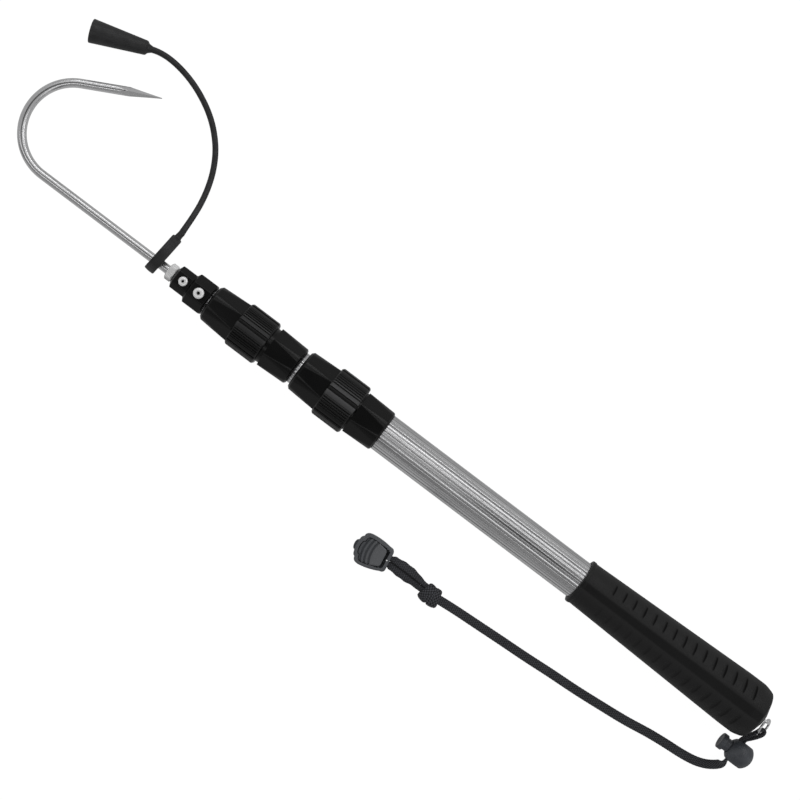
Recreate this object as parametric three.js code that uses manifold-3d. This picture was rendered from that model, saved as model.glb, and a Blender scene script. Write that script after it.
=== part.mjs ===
// Telescopic fishing gaff, closed and lying on a flat surface. All lengths are in millimetres.
// +X runs along the pole from the grip to the hook, and +Z is up. The origin is the middle of the flat
// land under the butt of the grip, so the surface that the gaff lies on is Z = 0.

import * as THREE from 'three';
import { mergeVertices } from 'three/addons/utils/BufferGeometryUtils.js';
import Module from 'manifold-3d';

const wasm = await Module();
wasm.setup();

// Clearances
const FIT = {
  gap: 0.3, // between two pieces that touch
  overrun: 3, // how far a cutter runs past what it cuts
};

// Fluted aluminium pole, three sections
const POLE = {
  axisHeight: 18.4, // of the pole's axis above the surface
  outerRadius: 12.7,
  wall: 0.9,
  fluteDepth: 0.4,
  flutePitch: 2.8, // round the tube, from ridge to ridge
  exposedLength: 154.6, // of the outer tube between the grip and its lock
  rearStop: 26, // from the outer tube's rear end to the middle tube's rear end
  innerRearStop: 12, // from the middle tube's rear end to the inner tube's rear end
};

// One flute's points: place round the flute from its ridge, and depth, as shares of pitch and depth
const FLUTE_SHARES = [[-0.24, 0.12], [0.24, 0.12], [0.5, 1]];

// Moulded rubber grip
const GRIP = {
  length: 143.9,
  landLength: 10,
  landHalfWidth: 4.5,
  domeLength: 12.2,
  flats: 4,
  buttHalfWidth: 18.4,
  frontHalfWidth: 14.8,
  frontFlatHalfWidth: 1.6,
  lipHeight: 0.5,
  lipLength: 3.2,
  endWall: 6.6,
  endHoleRadius: 4.9,
};
const GRIP_DOME_SHARES = [[0.2, 0.97], [0.47, 0.925], [0.65, 0.85], [0.8, 0.74], [0.92, 0.57], [1, 0.42]];
const GROOVE = {
  rows: 4,
  count: 15,
  pitch: 7.63,
  firstFromButt: 18, // from the dome's apex to the nearest groove's middle
  radius: 2.2,
  length: 15,
  frontDepth: 0.25,
  buttDepth: 0.55,
  rowAngle: 35, // degrees, from the middle of the upper or lower flat
  slant: 4, // degrees, with the end beside the flat nearer the butt
};

// Butt plug, screw eye and link ring
const PLUG = { flangeThickness: 2, length: 15, stemRadius: 1.5 };
const EYE = { wireRadius: 0.8, ringRadius: 3.3, reach: 5.5, collarRadius: 3.6, collarThickness: 2.2 };
const LINK = { wireRadius: 0.6, ringRadius: 5.4, sideways: 3.5, lean: 8 };

// Twist locks: a body on the thicker tube, and a ribbed nut that squeezes a clamp ring on the thinner one
const OUTER_LOCK = {
  bodyLength: 20.6,
  bodyRear: 14,
  bodyFront: 14.6,
  neckLength: 1,
  neckRadius: 13.9,
  ringLength: 22,
  ringRadius: 17.4,
  noseLength: 21.2,
  noseRear: 15,
  noseFront: 14.1,
  noseChamfer: 1.5,
  spigotRadius: 12.9,
};
const INNER_LOCK = {
  bodyLength: 21.4,
  bodyRear: 13.1,
  bodyFront: 13.8,
  neckLength: 2.8,
  neckRadius: 12.5,
  ringLength: 22.3,
  ringRadius: 15.4,
  noseLength: 21.8,
  noseRear: 13.7,
  noseFront: 12.5,
  noseChamfer: 1.6,
  spigotRadius: 11.6,
};
const LOCK = {
  flats: 8,
  rearFlatShare: 0.5, // of the full width that a flat could have, at the thin end
  ringFlatShare: 0.96, // the same beside the ribbed ring
  bodyChamfer: 0.9,
  ringChamfer: 1.1,
  tubeStop: 2.4, // from the shoulder inside the body to the body's front
  spigotShort: 3, // how far the spigot ends behind the ring's front
  clampLength: 9,
  clampFrontWall: 1,
  clampSlit: 1.6,
  nutGap: 1.9, // between the outer nut and the inner lock's body
};
const RIB = {
  sectors: 6,
  finePerSector: 5,
  barAngle: 10.5, // degrees, as are the other angles
  narrowGrooveAngle: 4,
  finePitchAngle: 7.25,
  fineTopAngle: 3.9,
  flankAngle: 0.8,
  barTurn: 2.4, // of the first bar's middle from straight up
  barDepth: 0.95,
  fineDepth: 0.6,
};

// Bushes on the rear ends of the sliding tubes
const BUSH = { flangeThickness: 2, plugLength: 6, wall: 1.6 };

// Stepped hook socket, its screws and the jam nut
const SOCKET = {
  gapToNut: 0.7,
  rearLength: 14.3,
  frontLength: 12.8,
  rearHalfWidth: 10.6,
  frontHalfWidth: 8.05,
  rearFlatHalf: 4.7,
  frontFlatHalf: 4.4,
  stepChamfer: 1.4,
  frontChamfer: 1.7,
  frontFaceHalf: 4.9,
  frontFaceFlatHalf: 2.6,
  sleeveDepth: 11.4,
  spigotLength: 9,
  spigotRadius: 7.3,
};
const TUBE_SCREW = {
  headRadius: 3.5,
  headHeight: 2,
  shankRadius: 2,
  length: 8,
  keyRadius: 1.45,
  fromStep: 7.1,
};
const SHANK_SCREW = {
  headRadius: 3,
  headHeight: 1.8,
  shankRadius: 1.6,
  length: 4.4,
  keyRadius: 1.2,
  fromStep: 5.4,
};
const SCREW = { keyDepthShare: 0.6, crownShare: 0.55, crownRadiusShare: 0.93, topRadiusShare: 0.57 };
const JAM_NUT = { acrossFlats: 10, thickness: 5, chamfer: 0.7 };

// Stainless hook: a straight shank, one round bend, a straight leg and a ground point
const HOOK = {
  wireRadius: 3,
  shankLength: 99.5, // from the jam nut to the bend
  bendRadius: 32,
  bendSweep: 152.5, // degrees
  legLength: 51.5,
  pointLength: 27,
  tipRadius: 0.25,
  tipInward: 0.8, // of the tip from the leg's middle line
  seatDepth: 11.5, // of the shank's end inside the socket
};
const POINT_TAPER_SHARES = [[0.3, 0.86], [0.6, 0.58], [0.85, 0.28]];

// Rubber tip guard: a ring that hangs on the shank, a strap and a hollow cap
const GUARD_RING = {
  fromNut: 9.5,
  outerRadius: 13.8,
  boreRadius: 10.5,
  width: 7,
  edge: 1,
  sideways: -5.85, // of its middle from the pole's axis
  hangGap: 0.8, // to the shank that it hangs on
  lean: 9.6, // degrees, of its top towards the grip
  turn: -4.8, // degrees about the vertical
  bossRadius: 2.5,
  bossTipRadius: 2.1,
  bossLength: 3.4,
};
const GUARD_CAP = {
  rearRadius: 4.65,
  mouthRadius: 7.8,
  length: 37.5,
  rearEdge: 1.2,
  rim: 1.3,
  boreEndRadius: 1.9,
  boreDepth: 29,
};
const CAP_PLACE = { rearX: 546.8, rearY: -104.4, heading: 20.5 };
const STRAP = { width: 3.7, thickness: 3.7, sides: 8, steps: 22 };
const STRAP_ROUTE = [
  [457.4, -23.7, 15.1], [457.7, -27.6, 14.6], [458.6, -35.6, 11.6], [460.2, -45, 7.7], [463.3, -56.4, 4.1],
  [467.9, -67.8, 2.2], [474.4, -78.6, 1.9], [482.9, -87.9, 1.9], [491.9, -94.8, 1.9], [502.4, -100.4, 1.9],
  [513.1, -104.4, 1.9], [524.1, -106.8, 2.1], [533.5, -107.4, 2.9], [540.5, -106.5, 3.9],
  [546.4, -104.6, 4.62],
];

// Cord lock: a ball with a sprung plunger
const BALL = {
  x: -21.3,
  y: 26.8,
  radius: 9.25,
  flatFromMiddle: 7.5, // of the flats round the cord's holes
  holeForward: 3.2, // of the cord's holes from the ball's middle
  holeHalfLength: 2.35,
  holeHalfHeight: 3.2,
  rearWall: 2.25,
};
const PLUNGER = {
  neckRadius: 4.25,
  capRadius: 5.4,
  capThickness: 3.6,
  capStandoff: 11.3,
  travel: 2,
  cupRadius: 2.9,
  cupDepth: 3.1,
  edge: 0.6,
};
const LOCK_SPRING = { wireRadius: 0.35, coilRadius: 2.2, turns: 4, length: 3.6 };

// Lanyard of flat braid: a stitched loop through the link ring, the long run, a knot and an eye
const LOOP_CORD = { width: 5.8, thickness: 1.9, sides: 8, steps: 26 };
const LOOP_ROUTE = [
  [-17, 34, 9.25], [-17, 30, 9.25], [-17, 24, 9.25], [-17, 19.6, 9.25], [-17.2, 16.8, 9.9],
  [-17.8, 13.8, 12], [-18.3, 11.3, 13.9], [-18.4, 9.2, 14.5], [-19.1, 7.3, 14.5], [-20.75, 6.5, 14.5],
  [-22.4, 7.3, 14.5], [-23.1, 9.2, 14.5], [-22.8, 11.3, 13.9], [-21.4, 13.8, 12], [-19.9, 16, 9.9],
  [-19.3, 17.4, 9.35], [-19.2, 18.8, 9.25],
];
const RUN_CORD = { width: 6.1, thickness: 2, sides: 8, steps: 30 };
const RUN_ROUTE = [
  [187.2, 63.9, 3.9], [180, 63.4, 2.1], [172, 62.9, 1.1], [160, 62.2, 1.05], [142, 61.1, 1.05],
  [122, 60, 1.05], [102.5, 58.6, 1.05], [84, 57.5, 1.05], [65.7, 55.9, 1.05], [47, 54, 1.05],
  [29.5, 51.4, 1.05], [15.7, 50, 1.05], [8.7, 49.5, 1.05], [1.7, 48.7, 1.05], [-4.8, 47.4, 1.1],
  [-10.6, 45.1, 1.5], [-14.4, 42.2, 3.4], [-16.4, 39.4, 6.2], [-17.2, 36.8, 8.7], [-17.3, 34.75, 9.2],
];
const KNOT = {
  x: 194.3,
  y: 65.3,
  height: 4.6,
  halfLength: 6.4,
  coreRadius: 2.7,
  wrapRadius: 2.45,
  strandRadius: 2.05,
  wideShare: 1.35, // of the wraps' width beside their height
  lean: 24,
};
const EYE_CORD = { width: 3.7, thickness: 3.7, sides: 8, steps: 26 };
const EYE_ROUTE = [
  [201.3, 61.6, 4.4], [203.6, 61.3, 4.1], [207.5, 60.6, 2.6], [212.5, 60.1, 1.95], [218.5, 59.9, 2.4],
  [227.1, 60.2, 3.9], [230.6, 60.5, 4.05], [232.7, 61.8, 4.05], [233.4, 64.1, 4.05], [232.1, 66.2, 4.05],
  [229.7, 66.9, 4.05], [226.3, 66.4, 3.9], [219, 66, 2.4], [213, 65.8, 1.95], [207.5, 65.5, 2.6],
  [203.6, 65.8, 4.1], [201.3, 65.9, 4.4],
];

// Clothing clip: a frame with a sprung thumb lever
const CLIP = {
  x: 228.1,
  y: 63.35,
  heading: 10, // degrees from +X
  length: 23.6,
  cordHalfWidth: 8,
  cordCorner: 2.6,
  wideHalfWidth: 10.5,
  widePlace: 16.5, // from the cord end
  farHalfWidth: 6.8,
  height: 7.6,
  tabHalfWidth: 3.4,
  tabReach: 1.6, // past the far end
  tabHeight: 3.2,
  edge: 0.7,
  rim: 2.1,
  floor: 2.2,
  forkDepth: 7.6,
  forkHalfWidth: 5.7,
  forkLow: 1.7,
  forkHigh: 6.4,
  rivetFromEdge: 2,
  rivetRadius: 1,
  rivetHeadRadius: 1.7,
  rivetHeadHeight: 0.6,
};
const LEVER = {
  start: 8.6,
  swingGap: 0.8, // behind the lever, for its swing
  thickness: 2.6,
  pinFromStart: 2,
  pinRadius: 0.8,
  pinHeight: 5.3,
  low: 4,
  springHalfWidth: 2.4,
  springCut: 4.4,
  ridges: 4,
  ridgePitch: 2.1,
  ridgeWidth: 0.8,
  ridgeHeight: 0.5,
};
const CLIP_SPRING = { wireRadius: 0.3, coilRadius: 1.45, turns: 4, length: 3.6 };

// Number of facets round what is round
const FACETS = { body: 28, bore: 24, small: 14, wire: 10, coil: 6, coilWire: 5 };
const HEXAGON = 6;

// Number of steps along what bends or tapers
const STEPS = { gripArc: 5, lockCone: 3, hookBend: 18, curve: 4 };

const FINISHES = {
  aluminium: { color: 0x9a9b9c, roughness: 0.38, metalness: 0.9 },
  steel: { color: 0xc9cacc, roughness: 0.25, metalness: 1 },
  gloss: { color: 0x0b0b0c, roughness: 0.22, metalness: 0 },
  moulded: { color: 0x2e3136, roughness: 0.45, metalness: 0 },
  rubber: { color: 0x121213, roughness: 0.75, metalness: 0 },
  braid: { color: 0x26282c, roughness: 0.9, metalness: 0 },
  nylon: { color: 0xd8d6cf, roughness: 0.5, metalness: 0 },
};

const radians = THREE.MathUtils.degToRad;
const TURN = 2 * Math.PI;

// Basic shape helpers

function signedVolume(geometry) {
  const at = geometry.getAttribute('position');
  const index = geometry.getIndex();
  const corner = [new THREE.Vector3(), new THREE.Vector3(), new THREE.Vector3()];
  let volume = 0;
  for (let i = 0; i < index.count; i += 3) {
    corner.forEach((point, k) => point.fromBufferAttribute(at, index.getX(i + k)));
    volume += corner[0].dot(corner[1].clone().cross(corner[2]));
  }
  return volume;
}

// Welds a geometry's vertices, drops triangles without area and turns its faces outwards.
function welded(geometry) {
  const bare = geometry.clone();
  bare.deleteAttribute('normal');
  bare.deleteAttribute('uv');
  const merged = mergeVertices(bare);
  const index = merged.getIndex();
  const kept = [];
  for (let i = 0; i < index.count; i += 3) {
    const [a, b, c] = [index.getX(i), index.getX(i + 1), index.getX(i + 2)];
    if (a !== b && b !== c && c !== a) kept.push(a, b, c);
  }
  merged.setIndex(kept);
  if (signedVolume(merged) < 0) {
    for (let i = 0; i < kept.length; i += 3) [kept[i], kept[i + 1]] = [kept[i + 1], kept[i]];
    merged.setIndex(kept);
  }
  return merged;
}

function toSolid(geometry) {
  const closed = welded(geometry);
  return new wasm.Manifold(new wasm.Mesh({
    numProp: 3,
    vertProperties: Float32Array.from(closed.getAttribute('position').array),
    triVerts: Uint32Array.from(closed.getIndex().array),
  }));
}

function fromSolid(solid) {
  const mesh = solid.getMesh();
  const geometry = new THREE.BufferGeometry();
  geometry.setAttribute('position', new THREE.BufferAttribute(mesh.vertProperties, mesh.numProp));
  geometry.setIndex(new THREE.BufferAttribute(mesh.triVerts, 1));
  return geometry;
}

function cut(base, ...cutters) {
  return fromSolid(cutters.reduce((solid, cutter) => solid.subtract(toSolid(cutter)), toSolid(base)));
}

function join(base, ...others) {
  return fromSolid(others.reduce((solid, other) => solid.add(toSolid(other)), toSolid(base)));
}

function common(base, other) {
  return fromSolid(toSolid(base).intersect(toSolid(other)));
}

// A closed body through rings of equally many points, with a fan over each end.
function loft(rings) {
  const count = rings[0].length;
  const ends = [rings[0], rings[rings.length - 1]];
  const middles = ends.map((ring) => {
    const sum = new THREE.Vector3();
    ring.forEach((point) => sum.add(point));
    return sum.divideScalar(count);
  });
  const points = [...rings.flat(), ...middles];
  const index = [];
  for (let j = 0; j < count; j += 1) {
    const next = (j + 1) % count;
    for (let i = 0; i < rings.length - 1; i += 1) {
      const near = i * count;
      const far = near + count;
      index.push(near + j, near + next, far + j, near + next, far + next, far + j);
    }
    const last = (rings.length - 1) * count;
    index.push(rings.length * count, next, j, rings.length * count + 1, last + j, last + next);
  }
  const places = points.flatMap((point) => point.toArray());
  const geometry = new THREE.BufferGeometry();
  geometry.setAttribute('position', new THREE.Float32BufferAttribute(places, 3));
  geometry.setIndex(index);
  return welded(geometry);
}

// A point at a distance from the X axis. The angle counts from straight up towards +Y.
function polar(x, radius, angle) {
  return new THREE.Vector3(x, radius * Math.sin(angle), radius * Math.cos(angle));
}

// A revolved body about the X axis, from [x, radius] pairs.
function revolve(profile, facets = FACETS.body) {
  const points = profile.map(([x, radius]) => new THREE.Vector2(radius, x));
  return new THREE.LatheGeometry(points, facets).rotateZ(-Math.PI / 2);
}

// A plain round bar along X from one place to another.
function bar(fromX, toX, radius, facets = FACETS.bore) {
  return new THREE.CylinderGeometry(radius, radius, toX - fromX, facets)
    .rotateZ(-Math.PI / 2)
    .translate((fromX + toX) / 2, 0, 0);
}

function box(low, high) {
  const size = high.map((value, i) => value - low[i]);
  const middle = high.map((value, i) => (value + low[i]) / 2);
  return new THREE.BoxGeometry(...size).translate(...middle);
}

// A ring of points round the X axis: equal flats at one distance, with arcs of a larger radius between.
function flattedRing(x, apothem, radius, flats, arcSteps) {
  const half = Math.acos(apothem / radius);
  const pitch = TURN / flats;
  const ring = [];
  for (let k = 0; k < flats; k += 1) {
    ring.push(polar(x, radius, k * pitch - half));
    for (let j = 0; j <= arcSteps; j += 1) {
      const along = j / (arcSteps + 1);
      ring.push(polar(x, radius, k * pitch + half + along * (pitch - 2 * half)));
    }
  }
  return ring;
}

// Radius of the arcs beside flats that take the given share of their full width.
function arcRadius(apothem, flats, share) {
  return apothem / Math.cos(share * Math.PI / flats);
}

// A coil spring along X from the origin, as one unbroken wire.
function coil({ wireRadius, coilRadius, turns, length }) {
  const rings = [];
  const steps = turns * FACETS.coil;
  const rise = (length - 2 * wireRadius) / steps;
  for (let i = 0; i <= steps; i += 1) {
    const angle = i / FACETS.coil * TURN;
    const ring = [];
    for (let j = 0; j < FACETS.coilWire; j += 1) {
      const around = j / FACETS.coilWire * TURN;
      ring.push(polar(wireRadius + i * rise + wireRadius * Math.sin(around),
        coilRadius + wireRadius * Math.cos(around), angle));
    }
    rings.push(ring);
  }
  return loft(rings);
}

// A cord's tube: an oval section along a smooth curve through the route.
function cordTube(route, { width, thickness, sides, steps }) {
  const curve = new THREE.CatmullRomCurve3(route.map((point) => new THREE.Vector3(...point)));
  const oval = new THREE.Shape();
  for (let j = 0; j < sides; j += 1) {
    const angle = (j + 0.5) / sides * TURN;
    const along = [width / 2 * Math.cos(angle), thickness / 2 * Math.sin(angle)];
    if (j === 0) oval.moveTo(...along);
    else oval.lineTo(...along);
  }
  return new THREE.ExtrudeGeometry(oval, { steps, extrudePath: curve, bevelEnabled: false });
}

// Places along the pole's axis

const gripRear = -(GRIP.landLength / 2 + GRIP.domeLength);
const gripFront = gripRear + GRIP.length;
const plugFlangeRear = gripRear + GRIP.endWall + FIT.gap;
const outerTubeRear = plugFlangeRear + PLUG.flangeThickness + FIT.gap;
const outerBodyRear = gripFront + POLE.exposedLength;
const boreRadiusOf = (radius) => radius - POLE.fluteDepth - POLE.wall;
const middleRadius = boreRadiusOf(POLE.outerRadius) - FIT.gap;
const innerRadius = boreRadiusOf(middleRadius) - FIT.gap;
const middleTubeRear = outerTubeRear + POLE.rearStop;
const innerTubeRear = middleTubeRear + POLE.innerRearStop;

// Places of one lock's parts, from its body's rear face
function lockPlaces(lock, rear) {
  const bodyFront = rear + lock.bodyLength;
  const ringRear = bodyFront + lock.neckLength;
  const ringFront = ringRear + lock.ringLength;
  const spigotFront = ringFront - LOCK.spigotShort;
  return {
    rear,
    bodyFront,
    ringRear,
    ringFront,
    spigotFront,
    tubeEnd: bodyFront - LOCK.tubeStop,
    noseFront: ringFront + lock.noseLength,
    clampRear: spigotFront + FIT.gap,
    clampFront: spigotFront + FIT.gap + LOCK.clampLength,
  };
}

const outerPlaces = lockPlaces(OUTER_LOCK, outerBodyRear);
const innerPlaces = lockPlaces(INNER_LOCK, outerPlaces.noseFront + LOCK.nutGap);
const socketRear = innerPlaces.noseFront + SOCKET.gapToNut;
const socketStep = socketRear + SOCKET.rearLength;
const socketFront = socketStep + SOCKET.frontLength;
const innerTubeFront = socketRear + SOCKET.sleeveDepth;
const nutRear = socketFront + FIT.gap;
const nutFront = nutRear + JAM_NUT.thickness;

// Fluted tube

function flutedOutline(radius) {
  const flutes = 2 * Math.round(Math.PI * radius / POLE.flutePitch);
  const points = [];
  for (let k = 0; k < flutes; k += 1) {
    FLUTE_SHARES.forEach(([along, sunk]) => {
      const angle = (k + along) / flutes * TURN;
      const reach = radius - sunk * POLE.fluteDepth;
      points.push(new THREE.Vector2(reach * Math.cos(angle), reach * Math.sin(angle)));
    });
  }
  return new THREE.Shape(points);
}

function flutedTube(radius, fromX, toX) {
  const outline = flutedOutline(radius);
  outline.holes.push(new THREE.Path().absarc(0, 0, boreRadiusOf(radius), 0, TURN, true));
  const geometry = new THREE.ExtrudeGeometry(outline, {
    depth: toX - fromX,
    bevelEnabled: false,
    curveSegments: FACETS.bore / 2,
  });
  return geometry.rotateY(Math.PI / 2).translate(fromX, 0, 0);
}

// Grip

function gripRing(x, apothem, flatHalfWidth) {
  return flattedRing(x, apothem, Math.hypot(apothem, flatHalfWidth), GRIP.flats, STEPS.gripArc);
}

function gripBody() {
  const landRear = -GRIP.landLength / 2;
  const landFront = GRIP.landLength / 2;
  const dome = GRIP_DOME_SHARES.map(([along, width]) => gripRing(
    landRear - along * GRIP.domeLength, width * GRIP.buttHalfWidth, width * GRIP.landHalfWidth));
  const lipRear = gripFront - GRIP.lipLength;
  const lipEdge = GRIP.lipLength / 3;
  const lip = [[lipRear, 0], [lipRear + lipEdge, 1], [gripFront - lipEdge, 1], [gripFront, 0]];
  return loft([
    ...dome.reverse(),
    gripRing(landRear, GRIP.buttHalfWidth, GRIP.landHalfWidth),
    gripRing(landFront, GRIP.buttHalfWidth, GRIP.landHalfWidth),
    ...lip.map(([x, raised]) => gripRing(
      x, GRIP.frontHalfWidth + raised * GRIP.lipHeight, GRIP.frontFlatHalfWidth)),
  ]);
}

// One groove: a six-sided bar laid flat across the grip's side, sunk by its depth.
function grooveCutter(row, place) {
  const along = place / (GROOVE.count - 1);
  const depth = THREE.MathUtils.lerp(GROOVE.buttDepth, GROOVE.frontDepth, along);
  const x = gripRear + GROOVE.firstFromButt + place * GROOVE.pitch;
  const toFront = Math.max(0, (x - GRIP.landLength / 2) / (gripFront - GRIP.landLength / 2));
  const flat = THREE.MathUtils.lerp(GRIP.landHalfWidth, GRIP.frontFlatHalfWidth, toFront);
  const surface = Math.hypot(THREE.MathUtils.lerp(GRIP.buttHalfWidth, GRIP.frontHalfWidth, toFront), flat);
  const side = row % 2 === 0 ? 1 : -1;
  const below = row < GROOVE.rows / 2 ? 0 : Math.PI;
  const apothem = GROOVE.radius * Math.cos(Math.PI / HEXAGON);
  const cutter = new THREE.CylinderGeometry(GROOVE.radius, GROOVE.radius, GROOVE.length, HEXAGON);
  cutter.rotateY(Math.PI / HEXAGON).rotateZ(-side * radians(GROOVE.slant));
  cutter.translate(x, 0, surface + apothem - depth);
  return cutter.rotateX(below - side * radians(GROOVE.rowAngle));
}

function handleGrip() {
  const cutters = [
    bar(plugFlangeRear - FIT.gap, gripFront + FIT.overrun, POLE.outerRadius + FIT.gap, FACETS.body),
    bar(gripRear - FIT.overrun, gripFront, GRIP.endHoleRadius),
  ];
  for (let row = 0; row < GROOVE.rows; row += 1) {
    for (let place = 0; place < GROOVE.count; place += 1) cutters.push(grooveCutter(row, place));
  }
  return cut(gripBody(), ...cutters);
}

// Butt hardware

function buttPlug() {
  const plugRadius = boreRadiusOf(POLE.outerRadius) - FIT.gap;
  const bodyRear = plugFlangeRear + PLUG.flangeThickness;
  const body = join(
    bar(plugFlangeRear, bodyRear, POLE.outerRadius),
    bar(bodyRear - PLUG.flangeThickness / 2, bodyRear + PLUG.length, plugRadius),
  );
  return cut(body, bar(plugFlangeRear - FIT.overrun, bodyRear + PLUG.length + FIT.overrun,
    PLUG.stemRadius + FIT.gap, FACETS.small));
}

const eyeMiddle = gripRear - EYE.reach + EYE.ringRadius + EYE.wireRadius;

function buttEye() {
  const collarFront = plugFlangeRear - FIT.gap;
  const collarRear = collarFront - EYE.collarThickness;
  const ring = new THREE.TorusGeometry(EYE.ringRadius, EYE.wireRadius, FACETS.coil, FACETS.small);
  return join(
    ring.rotateX(Math.PI / 2).translate(eyeMiddle, 0, 0),
    bar(eyeMiddle + EYE.ringRadius, collarFront, PLUG.stemRadius, FACETS.small),
    bar(collarRear, collarFront, EYE.collarRadius, FACETS.small),
    bar(collarRear, plugFlangeRear + PLUG.length, PLUG.stemRadius, FACETS.small),
  );
}

// The link hangs in the screw eye, pulled sideways and down by the lanyard.
function linkRing() {
  const lean = radians(LINK.lean);
  const seat = EYE.ringRadius - EYE.wireRadius - LINK.wireRadius - FIT.gap;
  const reach = Math.sqrt(LINK.ringRadius ** 2 - LINK.sideways ** 2);
  return new THREE.TorusGeometry(LINK.ringRadius, LINK.wireRadius, FACETS.coil, FACETS.bore)
    .rotateY(Math.PI / 2 + lean)
    .translate(eyeMiddle - seat - reach * Math.sin(lean), LINK.sideways, -reach * Math.cos(lean));
}

// Twist locks

function lockRing(x, apothem, radius) {
  return flattedRing(x, apothem, radius, LOCK.flats, 1);
}

// Rings of a cone with flats, from its thin end to the ribbed ring, where the flats nearly meet.
function lockCone(thinX, ringX, thinApothem, ringApothem) {
  const thinRadius = arcRadius(thinApothem, LOCK.flats, LOCK.rearFlatShare);
  const ringRadius = arcRadius(ringApothem, LOCK.flats, LOCK.ringFlatShare);
  const rings = [];
  for (let i = 0; i <= STEPS.lockCone; i += 1) {
    const along = i / STEPS.lockCone;
    rings.push(lockRing(
      THREE.MathUtils.lerp(thinX, ringX, along),
      THREE.MathUtils.lerp(thinApothem, ringApothem, along),
      THREE.MathUtils.lerp(thinRadius, ringRadius, along),
    ));
  }
  return rings;
}

// The chamfered ring at a cone's thin end
function lockEnd(x, apothem) {
  return lockRing(x, apothem, arcRadius(apothem, LOCK.flats, LOCK.rearFlatShare));
}

function lockBody(lock, at, tubeRadius, slidingRadius) {
  const sleeve = loft([
    lockEnd(at.rear, lock.bodyRear - LOCK.bodyChamfer),
    ...lockCone(at.rear + LOCK.bodyChamfer, at.bodyFront, lock.bodyRear, lock.bodyFront),
  ]);
  const outside = join(
    sleeve,
    bar(at.tubeEnd, at.ringRear - FIT.gap, lock.neckRadius, FACETS.body),
    bar(at.tubeEnd, at.spigotFront, lock.spigotRadius, FACETS.body),
  );
  return cut(
    outside,
    bar(at.rear - FIT.overrun, at.tubeEnd + FIT.gap, tubeRadius + FIT.gap),
    bar(at.rear, at.spigotFront + FIT.overrun, slidingRadius + FIT.gap),
  );
}

// The ribbed ring's outline as [angle, sunk] pairs: broad bars with fine ribs between them.
function ribPattern() {
  const sector = 360 / RIB.sectors;
  const fineStart = RIB.barAngle / 2 + RIB.narrowGrooveAngle;
  const pairs = [];
  for (let k = 0; k < RIB.sectors; k += 1) {
    const middle = k * sector + RIB.barTurn;
    pairs.push([middle - RIB.barAngle / 2, 0], [middle + RIB.barAngle / 2, 0]);
    pairs.push([middle + RIB.barAngle / 2 + RIB.flankAngle, RIB.barDepth]);
    pairs.push([middle + fineStart - RIB.flankAngle, RIB.barDepth]);
    for (let rib = 0; rib < RIB.finePerSector; rib += 1) {
      const start = middle + fineStart + rib * RIB.finePitchAngle;
      pairs.push([start, 0], [start + RIB.fineTopAngle, 0]);
      if (rib < RIB.finePerSector - 1) {
        pairs.push([start + (RIB.fineTopAngle + RIB.finePitchAngle) / 2, RIB.fineDepth]);
      } else {
        pairs.push([start + RIB.fineTopAngle + RIB.flankAngle, RIB.barDepth]);
      }
    }
    pairs.push([middle + sector - RIB.barAngle / 2 - RIB.flankAngle, RIB.barDepth]);
  }
  return pairs;
}

function ribbedRing(lock, at) {
  const pattern = ribPattern();
  const ringAt = (x, shrink) => pattern.map(([angle, sunk]) => polar(
    x, lock.ringRadius - shrink - Math.max(0, sunk - shrink / 2), radians(angle)));
  return loft([
    ringAt(at.ringRear, LOCK.ringChamfer),
    ringAt(at.ringRear + LOCK.ringChamfer, 0),
    ringAt(at.ringFront - LOCK.ringChamfer, 0),
    ringAt(at.ringFront, LOCK.ringChamfer),
  ]);
}

function clampFrontRadius(slidingRadius) {
  return slidingRadius + FIT.gap + LOCK.clampFrontWall;
}

function lockNut(lock, at, slidingRadius) {
  const shoulder = at.noseFront - lock.noseChamfer;
  const nose = loft([
    lockEnd(at.noseFront, lock.noseFront - lock.noseChamfer),
    ...lockCone(shoulder, at.ringFront - LOCK.ringChamfer, lock.noseFront, lock.noseRear),
  ]);
  const chamber = revolve([
    [at.ringRear - FIT.overrun, 0],
    [at.ringRear - FIT.overrun, lock.spigotRadius + FIT.gap],
    [at.clampRear, lock.spigotRadius + FIT.gap],
    [at.clampFront + FIT.gap, clampFrontRadius(slidingRadius) + FIT.gap],
    [at.clampFront + FIT.gap, slidingRadius + FIT.gap],
    [at.noseFront + FIT.overrun, slidingRadius + FIT.gap],
    [at.noseFront + FIT.overrun, 0],
  ]);
  return cut(join(ribbedRing(lock, at), nose), chamber);
}

function clampRing(lock, at, slidingRadius) {
  const ring = revolve([
    [at.clampRear, slidingRadius + FIT.gap],
    [at.clampRear, lock.spigotRadius],
    [at.clampFront, clampFrontRadius(slidingRadius)],
    [at.clampFront, slidingRadius + FIT.gap],
    [at.clampRear, slidingRadius + FIT.gap],
  ]);
  const slit = box(
    [at.clampRear - FIT.overrun, -LOCK.clampSlit / 2, 0],
    [at.clampFront + FIT.overrun, LOCK.clampSlit / 2, lock.ringRadius],
  );
  return cut(ring, slit);
}

// Bush in the rear end of a sliding tube
function endBush(tubeRadius, tubeRear) {
  const plugRadius = boreRadiusOf(tubeRadius) - FIT.gap;
  const rear = tubeRear - FIT.gap - BUSH.flangeThickness;
  return revolve([
    [rear, plugRadius - BUSH.wall],
    [rear, tubeRadius],
    [tubeRear - FIT.gap, tubeRadius],
    [tubeRear - FIT.gap, plugRadius],
    [tubeRear + BUSH.plugLength, plugRadius],
    [tubeRear + BUSH.plugLength, plugRadius - BUSH.wall],
    [rear, plugRadius - BUSH.wall],
  ]);
}

// Hook socket

function squareRing(x, half, flatHalf) {
  const corners = [[flatHalf, half], [half, flatHalf], [half, -flatHalf], [flatHalf, -half]];
  const points = [...corners, ...corners.map(([y, z]) => [-y, -z])];
  return points.map(([y, z]) => new THREE.Vector3(x, y, z));
}

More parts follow.
